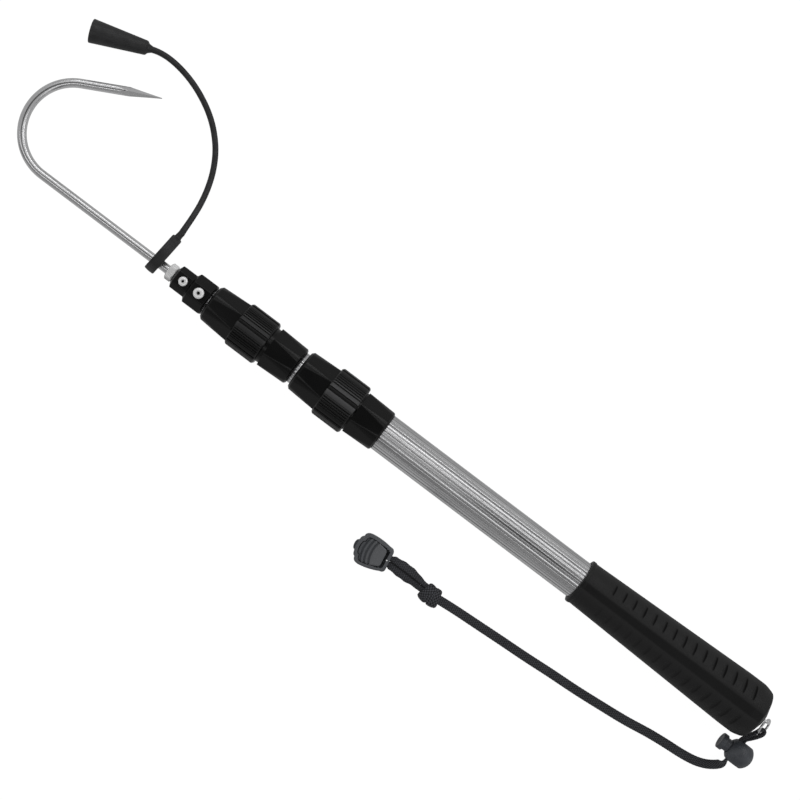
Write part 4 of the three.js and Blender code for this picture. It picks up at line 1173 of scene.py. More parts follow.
@dataclass(frozen=True)
class Ribs:
    """The pattern round a lock nut, in degrees: a broad bar, a deep groove, a narrower bar and fine ribs."""

    sectors: int = 6
    bar: float = 10.5
    deep_groove: float = 10
    second_bar: float = 7.5
    fine_count: int = 5
    fine_pitch: float = 6.2
    fine_top: float = 2.7
    turn: float = 6.5
    flank: float = 0.75
    bar_depth: float = 0.00095
    fine_depth: float = 0.0006
    # Where the painted highlight on the ribs' tops lies: its depth share, middle angle, spread and its shares on the
    # lesser ribs.
    worn_depth_share: float = 0.4
    worn_middle: float = -11
    worn_spread: float = 21
    worn_shares: Pair = (0.7, 0.5)

    def tops(self) -> list[Pair]:
        """Where the tops of one sector start and end, beginning with the broad bar.

        Returns:
            Pairs of angles.
        """
        second = self.bar + self.deep_groove
        first_fine = second + self.second_bar + self.fine_pitch - self.fine_top
        fine = [(first_fine + k * self.fine_pitch, first_fine + k * self.fine_pitch + self.fine_top)
                for k in range(self.fine_count)]
        return [(0, self.bar), (second, second + self.second_bar), *fine]

    def place(self, turns: Array) -> Array:
        """The place of each angle in its sector."""
        return (self.turn - np.degrees(turns)) % (360 / self.sectors)

    def sunk(self, turns: Array) -> Array:
        """How far the surface lies under the ribs' tops at each angle.

        Args:
            turns: the angles.

        Returns:
            The depths.
        """
        place = self.place(turns)
        sector = 360.0 / self.sectors
        away = np.full(turns.shape, sector)
        for low, high in [*self.tops(), (sector, sector + self.bar)]:
            away = np.minimum(away, np.maximum(np.maximum(low - place, place - high), 0))
        in_groove = (place > self.bar) & (place < self.bar + self.deep_groove)
        return np.where(in_groove, self.bar_depth, self.fine_depth) * ease(away, 0, 2 * self.flank)

    def worn(self, turns: Array) -> Array:
        """How much painted highlight pales the ribs' tops at each angle, on the upper side towards the key light.

        Args:
            turns: the angles.

        Returns:
            Shares from 0 to 1.
        """
        degrees = (np.degrees(turns) + 180) % 360 - 180
        top = 1 - ease(self.sunk(turns), 0, self.worn_depth_share * self.fine_depth)
        place = self.place(turns)
        second_end = self.tops()[1][1]
        others = np.where(place < second_end + self.flank, *self.worn_shares)
        share = np.where(place < self.bar + self.flank, 1, others)
        return top * share * np.exp(-((degrees - self.worn_middle) / self.worn_spread) ** 2)


@dataclass
class TwistLock:
    """A twist lock: the body on the thicker tube and the nut that squeezes the thinner one."""

    prefix: str
    nut_body: Body
    section: Body
    body_rear: float
    body_front: float
    neck_radius: float
    ring_radius: float
    ring_length: float
    nose_rear: float
    nose_front: float
    nose_chamfer: float
    outer_bore: float
    inner_bore: float
    spigot: float
    neck_length: float
    flat_count: int = 8
    wall_past_tube: float = 0.0021
    rear_share: float = 0.5
    ring_share: float = 0.96
    body_chamfer: float = 0.0009
    ring_chamfer: float = 0.0011
    bevel_edge: float = 0.00016
    ring_lip: float = 0.0004
    ring_edge: float = 0.0006
    rib_run_out: float = 0.0011
    chamber: float = 0.0062
    seat_depth: float = 0.003
    gap: float = 0.0003
    step: float = 0.0001
    edge: float = 0.00012
    columns: int = 720
    # How strong the painted highlight on the ribs' tops is.
    rib_sheen: float = 1.0
    rear_trim: float = 0.0
    ribs: Ribs = Ribs()
    finish: Finish = GlossCollar()

    def cone(self, thin: float, ring: float, thin_apothem: float, ring_apothem: float, rows: int = 20) -> list[tuple]:
        """Stations of a cone whose flats grow narrower towards the ribbed ring.

        Args:
            thin: the place of the thin end.
            ring: the place of the end beside the ribbed ring.
            thin_apothem: the flats' distance from the axis at the thin end.
            ring_apothem: the same beside the ring.
            rows: the number of stations.

        Returns:
            Places, flats' distances and radii.
        """
        def round_radius(apothem: float, share: float) -> float:
            """The radius between flats that take a share of their full width."""
            return apothem / math.cos(share * math.pi / self.flat_count)

        first = round_radius(thin_apothem, self.rear_share)
        last = round_radius(ring_apothem, self.ring_share)
        shares = np.linspace(0, 1, rows)
        return [(thin + s * (ring - thin), thin_apothem + s * (ring_apothem - thin_apothem), first + s * (last - first))
                for s in shares]

    def chamfered(self, place: float, shift: float, station: tuple, chamfer: float) -> list[tuple]:
        """Stations that bevel a cone's thin end, from its face inwards: towards +X for a shift of 1, -X for -1."""
        bevel = rounded([(0, 1.6 * chamfer), (0, chamfer), (chamfer, 0), (1.3 * chamfer, 0)], self.bevel_edge)[:-1]
        return [(place + shift * along, station[1] - drop, station[2] - drop) for along, drop in bevel]

    def sections(self, stations: list[tuple], turns: Array) -> tuple[Array, Array]:
        """Places and radii of stations with flats."""
        places, apothems, radii = np.array(stations).T
        return places, flats(turns, self.flat_count, apothems[:, None], radii[:, None], self.edge)

    def body_skin(self) -> Skin:
        """The lock's body.

        Returns:
            Its closed skin.
        """
        turns = angles(self.columns)
        rear, spigot_end = span(self.prefix + "_lock_body")
        rear += self.rear_trim
        ring_rear = span(self.prefix + "_lock_nut")[0]
        front = ring_rear - self.neck_length
        cone = self.cone(rear + self.body_chamfer, front, self.body_rear, self.body_front)
        stations = self.chamfered(rear, 1, cone[0], self.body_chamfer) + cone[1:]
        places, radii = self.sections(stations, turns)
        stop = front - self.wall_past_tube
        neck_end = ring_rear - self.step
        tail_places, tail = stacked([
            (front + self.step / 2, self.body_front - self.ring_lip), (front + self.step, self.neck_radius),
            (neck_end, self.neck_radius), (neck_end, self.spigot), (spigot_end, self.spigot),
            (spigot_end, self.inner_bore), (stop, self.inner_bore), (stop, self.outer_bore), (rear, self.outer_bore),
        ], self.columns)
        return round_pole(np.concatenate([places, tail_places]), np.vstack([radii, tail]), turns)

    def nut_skin(self) -> Skin:
        """The lock's nut: the ribbed ring and the nose in one piece.

        Returns:
            Its closed skin, with the painted highlight on its ribs' tops.
        """
        turns = angles(self.columns)
        ring_rear, nose_front = span(self.prefix + "_lock_nut")
        ring_front = ring_rear + self.ring_length
        sunk = self.ribs.sunk(turns)
        rows: list[tuple] = []
        end_profile = rounded([
            (0, -self.ring_chamfer - self.ring_lip), (0, -self.ring_chamfer), (self.ring_chamfer, 0),
            (2.5 * self.ring_chamfer, 0),
        ], self.ring_edge, 5)
        for end, forward, profile in ((ring_rear, 1, end_profile), (ring_front, -1, end_profile[::-1])):
            for along, drop in profile:
                ribs = np.minimum(drop, -sunk * ease(along, 0, self.rib_run_out))
                rows.append((end + forward * along, self.ring_radius + ribs))
        ribbed_rows = len(rows)
        cone = self.cone(nose_front - self.nose_chamfer, ring_front, self.nose_front, self.nose_rear)
        places, radii = self.sections(cone[1:][::-1], turns)
        rows += list(zip(places, radii))
        places, radii = self.sections(self.chamfered(nose_front, -1, cone[0], self.nose_chamfer)[::-1], turns)
        rows += list(zip(places, radii))
        rows += [(nose_front, self.inner_bore), (ring_front + self.chamber, self.inner_bore),
                 (ring_front - self.seat_depth, self.spigot + self.gap), (ring_rear, self.spigot + self.gap)]
        stations, radii = stacked(rows, self.columns)
        on_ring = (np.arange(len(rows)) < ribbed_rows)[:, None]
        return round_pole(stations, radii, turns, worn=on_ring * self.ribs.worn(turns) * self.rib_sheen)

    def build(self) -> None:
        """Makes the body and the nut, and dresses the clamp ring inside."""
        lay(self.prefix + "_lock_collar", self.body_skin(), self.finish, self.section, [self.prefix + "_lock_body"])
        lay(self.prefix + "_lock_ribbed_nut", self.nut_skin(), self.finish, self.nut_body,
            [self.prefix + "_lock_nut"])
        dress(InnerNylon(), self.prefix + "_clamp_ring")


@dataclass
class HookSocket:
    """The stepped socket that holds the hook, with its two screws and the jam nut."""

    rear_half: float = 0.0106
    front_half: float = 0.00805
    rear_flat: float = 0.0047
    front_flat: float = 0.0044
    gap_to_nut: float = 0.0014
    rear_length: float = 0.0143
    step_chamfer: float = 0.0014
    front_chamfer: float = 0.0017
    face_half: float = 0.0049
    face_flat: float = 0.0026
    shank_bore: float = 0.0033
    sleeve_bore: float = 0.0098
    sleeve_depth: float = 0.0117
    nut_flats: float = 0.010
    nut_chamfer: float = 0.0007
    nut_side_shade: float = 0.45
    nut_side_shade_turns: Pair = (0.2, 0.9)
    nut_thread: float = 0.0031
    nut_columns: int = 240
    lead_in: float = 0.0005
    flat_lead_in: float = 0.0003
    core: float = 0.0005
    corner: float = 0.00025
    outline_corner: float = 0.00045
    shank_depth: float = 0.011
    drill_cone: float = 0.0002
    gap: float = 0.0003
    far_round: float = 0.05
    head_share: float = 0.54
    stem_share: float = 0.53
    seat_bevel: float = 0.0001
    rim_share: float = 0.25
    key_share: float = 0.6
    key_bevel: float = 0.00012
    keys: Pair = (0.00112, 0.00095)
    columns: int = 256
    gloss: Finish = GlossCollar()
    steel: Finish = ScrewSteel()

    def squared(self, turns: Array, half: Array, flat: Array) -> Array:
        """Radii of a square section with wide bevelled corners, from its sides' distance and their half width."""
        diagonal = flats(turns + QUARTER / 2, 4, (half + flat) / math.sqrt(2), self.far_round, SHARP)
        return soft_min(flats(turns, 4, half, self.far_round, SHARP), diagonal, self.corner)

    def skin(self) -> Skin:
        """The socket's closed skin.

        Returns:
            The skin, from its outside through its bores.
        """
        turns = angles(self.columns)
        rear = span("inner_lock_nut")[1] + self.gap_to_nut
        step = rear + self.rear_length
        front = span("hook_socket")[1]
        outline = rounded([
            (rear, self.rear_half - self.lead_in, self.rear_flat - self.flat_lead_in),
            (rear + self.lead_in, self.rear_half, self.rear_flat),
            (step - self.step_chamfer, self.rear_half, self.rear_flat), (step, self.front_half, self.front_flat),
            (front - self.front_chamfer, self.front_half, self.front_flat), (front, self.face_half, self.face_flat),
            (front, self.shank_bore + self.gap, self.face_flat * 0.8),
        ], self.outline_corner, 4)
        radii = self.squared(turns, outline[:, 1:2], outline[:, 2:3])
        radii[-1] = self.shank_bore
        sleeve_end = rear + self.sleeve_depth
        places, inside = stacked([
            (front - self.shank_depth, self.shank_bore), (front - self.shank_depth - self.drill_cone, self.core),
            (sleeve_end, self.core), (sleeve_end, self.sleeve_bore), (rear, self.sleeve_bore),
        ], self.columns)
        return round_pole(np.concatenate([outline[:, 0], places]), np.vstack([radii, inside]), turns)

    def screw(self, node: str, key: float) -> Skin:
        """A button-head screw with a hexagon socket.

        Args:
            node: the screw's solid.
            key: the hexagon's radius at its corners.

        Returns:
            The closed skin, standing upright.
        """
        low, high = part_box(node)
        radius = (high.x - low.x) / 2
        top = high.z
        head = self.head_share * radius
        seat = top - head
        turns = angles(ROUND)
        socket = hexagon(turns, key)
        floor = top - self.key_share * head
        rim = self.rim_share
        dome = [(seat + head * (rim + (1 - rim) * math.sin(a)), radius * (0.5 + 0.5 * math.cos(a)))
                for a in np.linspace(0.2, QUARTER, 10)]
        rows = [
            (low.z, self.stem_share * radius), (seat, self.stem_share * radius),
            (seat + self.seat_bevel, radius * 0.97), (seat + rim * head, radius), *dome,
            (top, socket + self.key_bevel), (top - self.key_bevel, socket), (floor, socket),
            (floor - self.seat_bevel, socket * 0.4),
        ]
        stations, radii = stacked(rows, ROUND)
        # Painted shade in the hexagon socket.
        in_socket = np.arange(len(rows)) >= len(rows) - 3
        deep = np.repeat(in_socket[:, None] * 1.0, ROUND, axis=1)
        return through_rings(round_axis(stations, radii, turns, 0.0), {"deep": deep}).placed(standing(node))

    def jam_nut(self) -> Skin:
        """The hexagon nut, with its corners chamfered.

        Returns:
            Its closed skin, with painted shade on its +Y side.
        """
        rear, front = span("hook_jam_nut")
        turns = angles(self.nut_columns)
        corner = self.nut_flats / 2 / math.cos(TURN / 12)
        outside = hexagon(turns, corner)
        drops = np.linspace(0, 1, 5)
        bevel = [(self.nut_chamfer * s, np.minimum(outside, corner - self.nut_chamfer * 1.6 * (1 - s))) for s in drops]
        mouth = self.shank_bore + self.gap
        rows = [(rear, mouth), *((rear + along, radii) for along, radii in bevel),
                *((front - along, radii) for along, radii in bevel[::-1]), (front, mouth),
                (front - self.lead_in, self.nut_thread), (rear + self.lead_in, self.nut_thread)]
        stations, radii = stacked(rows, self.nut_columns)
        # Painted shade, darkest on the side that faces +Y, away from the key light.
        painted_darkness = self.nut_side_shade * (1 - ease(np.abs(turns - QUARTER), *self.nut_side_shade_turns))
        return round_pole(stations, radii, turns, deep=np.tile(painted_darkness, (len(rows), 1)))

    def build(self) -> None:
        """Makes the socket, the screws and the nut."""
        lay("stepped_socket", self.skin(), self.gloss, Body.INNER, ["hook_socket"])
        for node, key in zip(("tube", "shank"), self.keys):
            screw = self.screw(node + "_screw", key)
            lay(node + "_button_screw", screw, self.steel, Body.INNER, [node + "_screw"])
        lay("shank_jam_nut", self.jam_nut(), self.steel, Body.INNER, ["hook_jam_nut"], crease=25)


@dataclass
class Hook:
    """The stainless hook: shank, bend, leg and ground point."""

    wire_radius: float = 0.003
    shank_length: float = 0.0995
    bend_radius: float = 0.032
    sweep: float = 152.5
    leg: float = 0.0515
    point: float = 0.03
    point_power: float = 0.85
    tip: float = 0.0002
    tip_inward: float = 0.0008
    ground_share: float = 1.02
    ground_edge: float = 0.00006
    columns: int = 48
    spacing: float = 0.001
    finish: Finish = Stainless()

    def centre(self) -> tuple[Array, Array]:
        """The wire's middle line, and the direction towards the inside of the bend.

        Returns:
            Both, as points.
        """
        start = span("hook")[0]
        bend = span("hook_jam_nut")[1] + self.shank_length
        shank = np.arange(start, bend, self.spacing)
        sweep = math.radians(self.sweep)
        turned_by = np.linspace(0, sweep, round(sweep * self.bend_radius / self.spacing))
        leg = np.linspace(0, self.leg, round(self.leg / self.spacing))[1:]
        heading = np.array([math.cos(sweep), -math.sin(sweep)])
        round_end = self.bend_radius * np.array([math.sin(sweep), math.cos(sweep) - 1])
        flat = np.vstack([
            np.stack([shank, 0 * shank], axis=1),
            np.stack([bend + self.bend_radius * np.sin(turned_by), self.bend_radius * (np.cos(turned_by) - 1)], axis=1),
            [bend, 0] + round_end + leg[:, None] * heading,
        ])
        line = level(flat, axis_height())
        return line, np.cross(unit(np.gradient(line, axis=0)), [0, 0, 1])

    def build(self) -> None:
        """Makes the hook, with four flats ground to the point."""
        line, inward = self.centre()
        turns = angles(self.columns)
        places = along_line(line)
        before_tip = places[-1] - places
        taper = np.clip(1 - before_tip / self.point, 0, 1)[:, None]
        ground = (1 - taper ** self.point_power) * self.wire_radius * self.ground_share + self.tip
        planes = ground / np.cos(turns % QUARTER - QUARTER / 2)
        pointed = soft_min(self.wire_radius, planes, self.ground_edge)
        radii = np.where(taper > 0, pointed, self.wire_radius)
        thinned = self.wire_radius - np.minimum(radii.max(axis=1), self.wire_radius)
        shift = self.tip_inward * thinned / (self.wire_radius - self.tip)
        sections = radii[..., None] * np.stack([np.cos(turns), np.sin(turns)], axis=-1)
        spread = np.repeat(places[:, None], self.columns, axis=1)
        round_it = np.tile(turns / TURN, (len(line), 1))
        skin = swept(line + shift[:, None] * inward, inward, sections, along=spread, around=round_it)
        lay("steel_hook", skin, self.finish, Body.INNER, ["hook"], crease=20)


@dataclass
class TipGuard:
    """The rubber guard: a ring on the shank, a strap and a hollow cap for the point."""

    ring_outer: float = 0.0138
    ring_bore: float = 0.0105
    ring_width: float = 0.007
    ring_edge: float = 0.0007
    ring_sideways: float = -0.00585
    ring_turn: float = -4.8
    ring_lean: float = 9.6
    boss: float = 0.0025
    boss_tip: float = 0.0021
    boss_length: float = 0.0034
    boss_root: float = 0.0018
    boss_rows: int = 12
    boss_columns: int = 32
    ring_crown: float = 0.0002
    ring_shoulder: float = 0.0001
    ring_columns: int = 144
    voxel: float = 0.00028
    soften: int = 6
    strap_radius: float = 0.00185
    strap_wide_share: float = 1.06
    strap_spacing: float = 0.0012
    strap_overlap: float = 0.001
    strap_swells: Pair = (0.12, 0.15)
    swell_length: float = 0.004
    strap_columns: int = 24
    cap_rear: float = 0.00465
    cap_mouth: float = 0.0078
    cap_length: float = 0.0375
    cap_edge: float = 0.0012
    cap_neck: float = 0.0026
    cap_rim: float = 0.0013
    cap_bore_end: float = 0.0019
    cap_bore: float = 0.029
    cap_bore_cone: float = 0.0015
    cap_step: float = 0.0004
    cap_corner: float = 0.0007
    cap_place: Pair = (0.5468, -0.1044)
    cap_heading: float = 20.5
    finish: Finish = GuardRubber()

    def ring(self) -> Mesh:
        """The ring with the boss that the strap grows from.

        Returns:
            The moulding.
        """
        half = self.ring_width / 2
        crown = self.ring_outer + self.ring_crown
        shoulder = self.ring_outer - self.ring_shoulder
        profile = rounded([
            (0, crown), (half, shoulder), (half, self.ring_bore), (-half, self.ring_bore), (-half, shoulder),
            (0, crown),
        ], self.ring_edge, 5)[:-1]
        radii = np.repeat(profile[:, 1:], self.ring_columns, axis=1)
        band = through_rings(round_axis(profile[:, 0], radii, angles(self.ring_columns), 0.0), closed=True)
        ends = (-self.ring_outer + self.boss_root, -self.ring_outer - self.boss_length)
        line = np.linspace(*((0, end, 0) for end in ends), self.boss_rows)
        radii = np.linspace(self.boss, self.boss_tip, self.boss_rows)
        boss = swept(line, all_along(line, (1, 0, 0)), round_sections(radii, self.boss_columns))
        low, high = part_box("guard_ring")
        middle = Vector(((low.x + high.x) / 2, self.ring_sideways, (low.z + high.z) / 2))
        stand = (Matrix.Translation(middle) @ turn_about("Z", self.ring_turn)
                 @ turn_about("Y", -self.ring_lean))
        whole = [band.placed(stand), boss.placed(stand)]
        return moulded("guard_ring_moulding", whole, [], self.voxel, self.soften)

    def strap(self) -> tuple[Skin, Array]:
        """The strap, which swells a little at both ends.

        Returns:
            Its skin and the line that it follows.
        """
        line = run_on(smooth_route(STRAP_ROUTE, self.strap_spacing), self.strap_overlap, self.strap_overlap)
        places = along_line(line)
        root, end = self.strap_swells
        swell = 1 + root * np.exp(-places / self.swell_length)
        swell = swell + end * np.exp(-(places[-1] - places) / self.swell_length)
        sections = round_sections(self.strap_radius * swell, self.strap_columns) * [1, self.strap_wide_share]
        return swept(line, all_along(line, (0, 0, 1)), sections), line

    def cap(self) -> Skin:
        """The hollow cap, lying on the surface.

        Returns:
            Its skin.
        """
        lean = math.atan((self.cap_mouth - self.cap_rear) / self.cap_length)
        bore_end = self.cap_length - self.cap_bore
        profile = rounded([
            (-self.cap_neck, 2 * CLOSED), (-self.cap_neck, self.strap_radius + self.cap_step / 2),
            (0, self.cap_rear - self.cap_edge - self.cap_step), (self.cap_edge, self.cap_rear),
            (self.cap_length, self.cap_mouth), (self.cap_length, self.cap_mouth - self.cap_rim),
            (bore_end, self.cap_bore_end), (bore_end - self.cap_bore_cone, CLOSED),
        ], self.cap_corner, 5)
        stand = (Matrix.Translation((*self.cap_place, self.cap_rear / math.cos(lean)))
                 @ turn_about("Z", self.cap_heading) @ Matrix.Rotation(-lean, 4, "Y"))
        return turned(profile, ROUND).placed(stand)

    def build(self) -> None:
        """Makes the ring, the strap and the cap."""
        lay("guard_shank_ring", self.ring(), self.finish, Body.GUARD, ["guard_ring"])
        skin, line = self.strap()
        strap = lay("guard_strap_cord", skin, self.finish, Body.GUARD, ["guard_strap"])
        cap = lay("guard_point_cap", self.cap(), self.finish, Body.GUARD, ["guard_cap"])


@dataclass(frozen=True)
class BraidedCord:
    """How a flat braid is made: its section and its plait."""

    width: float
    thickness: float
    strands: int = 10
    pitch: float = 0.002
    relief: float = 0.00016
    columns: int = 80
    spacing: float = 0.00025
    square: float = 0.72
    strand_power: float = 0.7
    crossing_power: float = 0.6
    crossing_floor: float = 0.35

    def skin(self, line: Array, across: Array, widths: Array | float = 1.0) -> Skin:
        """The braid's skin along a line.

        Args:
            line: the points that it follows.
            across: the direction of its width at each point.
            widths: the width at each point as a share of the full one.

        Returns:
            The skin, with the plait's height, the yarn's place and the place along it as measures.
        """
        turns = angles(self.columns)
        section = np.stack([
            self.width / 2 * np.sign(np.cos(turns)) * np.abs(np.cos(turns)) ** self.square,
            self.thickness / 2 * np.sign(np.sin(turns)) * np.abs(np.sin(turns)) ** self.square,
        ], axis=-1)
        edges = np.linalg.norm(np.roll(section, -1, axis=0) - section, axis=1)
        around = np.concatenate([[0], np.cumsum(edges)[:-1]]) / edges.sum()
        places = along_line(line)[:, None]
        right = places / self.pitch + self.strands * around
        left = places / self.pitch - self.strands * around
        right_on_top = (np.floor(right) + np.floor(left)) % 2 < 1
        across_strand = np.where(right_on_top, right % 1, left % 1)
        along_strand = np.where(right_on_top, left % 1, right % 1)
        rise = np.sin(math.pi * along_strand) ** self.crossing_power
        crossing = self.crossing_floor + (1 - self.crossing_floor) * rise
        plait = np.sin(math.pi * across_strand) ** self.strand_power * crossing
        outward = unit(section / np.array([self.width, self.thickness]) ** 2)
        shares = np.broadcast_to(widths, (len(line),))
        sections = np.repeat(section[None], len(line), axis=0) * np.stack([shares, 0 * shares + 1], axis=-1)[:, None]
        sections = sections + ((plait - 1) * self.relief)[..., None] * outward
        spread = np.repeat(places, self.columns, axis=1)
        return swept(line, across, sections, plait=plait, fibre=across_strand, along=spread)


@dataclass
class CordLock:
    """The ball of the cord lock and its sprung plunger."""

    radius: float = 0.00925
    flat: float = 0.0075
    front_flat: float = 0.0078
    hole_forward: float = 0.0032
    hole_half_length: float = 0.00235
    hole_half_height: float = 0.0032
    rear_wall: float = 0.00225
    neck: float = 0.00425
    cap: float = 0.0054
    cap_thickness: float = 0.0036
    cap_standoff: float = 0.0113
    clearance: float = 0.0003
    pole_angle: float = 0.02
    ball_rows: int = 60
    bore_columns: int = 64
    voxel: float = 0.00024
    soften: int = 5
    neck_length: float = 0.0062
    cap_edge: float = 0.0004
    cap_bevel: float = 0.0009
    dish: float = 0.0026
    dish_depth: float = 0.0007
    cap_corner: float = 0.00045
    finish: Finish = DarkMoulding()

    def middle(self) -> Vector:
        """The ball's middle."""
        low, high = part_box("cord_lock_body")
        return Vector((low.x + self.radius, (low.y + high.y) / 2, (low.z + high.z) / 2))

    def ball(self) -> Mesh:
        """The ball, flat round its holes.

        Returns:
            The moulding.
        """
        rows = np.linspace(self.pole_angle, math.pi - self.pole_angle, self.ball_rows)
        profile = np.stack([-self.radius * np.cos(rows), self.radius * np.sin(rows)], axis=1)
        sphere = turned(profile, ROUND)
        far = 2 * self.radius
        long = self.hole_half_length
        tall = self.hole_half_height
        bore = self.neck + self.clearance
        cuts = [
            box_skin((-far, self.flat, -far), (far, far, far)),
            box_skin((-far, -far, -far), (far, -self.flat, far)),
            box_skin((self.front_flat, -far, -far), (far, far, far)),
            box_skin((self.hole_forward - long, -far, -tall), (self.hole_forward + long, far, tall)),
            turned(np.array([(self.rear_wall - self.radius, bore), (far, bore)]), self.bore_columns),
        ]
        place = Matrix.Translation(self.middle())
        return moulded("cord_lock_ball_moulding", [sphere.placed(place)], [cut.placed(place) for cut in cuts],
                       self.voxel, self.soften)

    def plunger(self) -> Skin:
        """The plunger: a neck that goes into the ball and a thumb cap.

        Returns:
            Its skin.
        """
        start = self.cap_standoff - self.neck_length
        end = self.cap_standoff + self.cap_thickness
        profile = rounded([
            (start, CLOSED), (start, self.neck), (self.cap_standoff, self.neck), (self.cap_standoff, self.cap),
            (end - self.cap_edge, self.cap), (end, self.cap - self.cap_bevel),
            (end - self.cap_edge, self.cap - self.dish), (end - self.dish_depth, CLOSED),
        ], self.cap_corner, 5)
        return turned(profile, ROUND).placed(Matrix.Translation(self.middle()))

    def build(self) -> None:
        """Makes the ball and the plunger, and dresses the spring inside."""
        lay("cord_lock_ball", self.ball(), self.finish, Body.LANYARD, ["cord_lock_body"])
        lay("cord_lock_button", self.plunger(), self.finish, Body.PLUNGER, ["cord_lock_plunger"])
        dress(ScrewSteel(), "cord_lock_spring")


@dataclass
class Lanyard:
    """The braided cord: end loop, long run, knot and the eye that holds the clip."""

    loop: BraidedCord = BraidedCord(0.0058, 0.0022)
    run: BraidedCord = BraidedCord(0.0061, 0.002)
    eye: BraidedCord = BraidedCord(0.0056, 0.0019)
    wrap: BraidedCord = BraidedCord(0.0074, 0.0036, strands=9, square=0.86)
    knot_middle: Point = (0.1943, 0.0653, 0.0046)
    knot_wraps: tuple[tuple[float, ...], ...] = (
        (-0.0026, 13, 8, 0.0047, 0.0027), (0.0024, -13, -12, 0.0049, 0.0027), (0.0, 48, 14, 0.0044, 0.0028),
    )
    wrap_points: int = 110
    core_half: float = 0.0062
    core_points: int = 50
    core_across: Point = (0, 1, 0.4)
    loop_overlap: float = 0.0008
    run_overlaps: Pair = (0.003, 0.0012)
    eye_overlap: float = 0.003
    twist_length: float = 0.0075
    end_twist: float = 62
    end_narrowing: float = 0.15
    narrowing_start: float = 0.001
    eye_closeness: tuple[Pair, ...] = ((0.2036, 0.84), (0.2185, 0.84), (0.2271, 0.64), (0.2306, 0.85))
    eye_rolls: tuple[Pair, ...] = ((0, 90), (0.0052, 70), (0.008, 14), (0.021, 8), (0.032, 40))
    eye_widths: tuple[Pair, ...] = (
        (0, 0.44), (0.005, 0.48), (0.009, 1.0), (0.022, 1.06), (0.03, 0.84),
    )
    eye_middle: float = 0.0632
    eye_lobes: float = 900
    eye_lobe_share: float = 0.05
    eye_slit: float = 0.0007
    finish: Finish = Braid()

    def end_loop(self) -> None:
        """The loop on edge through the link ring."""
        line = run_on(smooth_route(LOOP_ROUTE, self.loop.spacing), 0.0, self.loop_overlap)
        skin = self.loop.skin(line, all_along(line, (0, 0, 1)))
        piece = lay("braided_loop", skin, self.finish, Body.LANYARD, ["cord_loop"], crease=80)

    def long_run(self) -> None:
        """The run on the surface, which twists on edge where it enters the ball."""
        line = run_on(smooth_route(RUN_ROUTE, self.run.spacing), *self.run_overlaps)
        left = along_line(line)[-1] - along_line(line)
        roll = (1 - ease(left, self.run_overlaps[1], self.twist_length)) * math.radians(self.end_twist)
        widths = 1 - self.end_narrowing * (1 - ease(left, self.narrowing_start, self.twist_length))
        skin = self.run.skin(line, rolled(line, roll), widths)
        piece = lay("braided_run", skin, self.finish, Body.LANYARD, ["lanyard_cord"], crease=80)

    def clip_eye(self) -> None:
        """The two strands side by side from the knot to the clip's rivet."""
        route = np.array(EYE_ROUTE)
        closeness = np.interp(route[:, 0], *np.array(self.eye_closeness).T)
        route[:, 1] = self.eye_middle + closeness * (route[:, 1] - self.eye_middle)
        line = run_on(smooth_route(route, self.eye.spacing), self.eye_overlap, self.eye_overlap)
        places = along_line(line)
        from_rivet = np.abs(places - places[-1] / 2)
        roll = np.interp(from_rivet, *np.array(self.eye_rolls).T)
        widths = np.interp(from_rivet, *np.array(self.eye_widths).T)
        widths = widths + self.eye_lobe_share * np.sin(from_rivet * self.eye_lobes)
        skin = self.eye.skin(line, rolled(line, np.radians(roll)), widths)
        # Painted shade along the slit between the two strands.
        skin.measures["deep"] = np.exp(-((skin.points[:, 1] - self.eye_middle) / self.eye_slit) ** 2)
        piece = lay("braided_eye", skin, self.finish, Body.LANYARD, ["lanyard_eye"], crease=80)

    def knot(self) -> None:
        """The overhand knot: wraps of the cord that lean across each other."""
        skins = []
        for shift, lean, roll, wide, tall in self.knot_wraps:
            turns = np.linspace(0, TURN, self.wrap_points, endpoint=False)
            ring = np.stack([0 * turns, wide * np.cos(turns), tall * np.sin(turns)], axis=1)
            stand = (Matrix.Translation(self.knot_middle) @ turn_about("Z", lean)
                     @ turn_about("X", roll) @ Matrix.Translation((shift, 0, 0)))
            line = Skin(ring, []).placed(stand).points
            closed_line = np.vstack([line, line[:2]])
            axis = stand.to_3x3() @ Vector((1, 0, 0))
            skins.append(self.wrap.skin(closed_line, all_along(closed_line, axis)))
        core = np.linspace((-self.core_half, 0, 0), (self.core_half, 0, 0), self.core_points)
        core = core + np.array(self.knot_middle)
        skins.append(self.wrap.skin(core, all_along(core, self.core_across)))
        whole = skins[0] + skins[1] + skins[2] + skins[3]
        lay("braided_knot", whole, self.finish, Body.LANYARD, ["lanyard_knot"], crease=80)

    def build(self) -> None:
        """Makes the cord's stretches and its knot."""
        self.knot()
        self.end_loop()
        self.long_run()
        self.clip_eye()


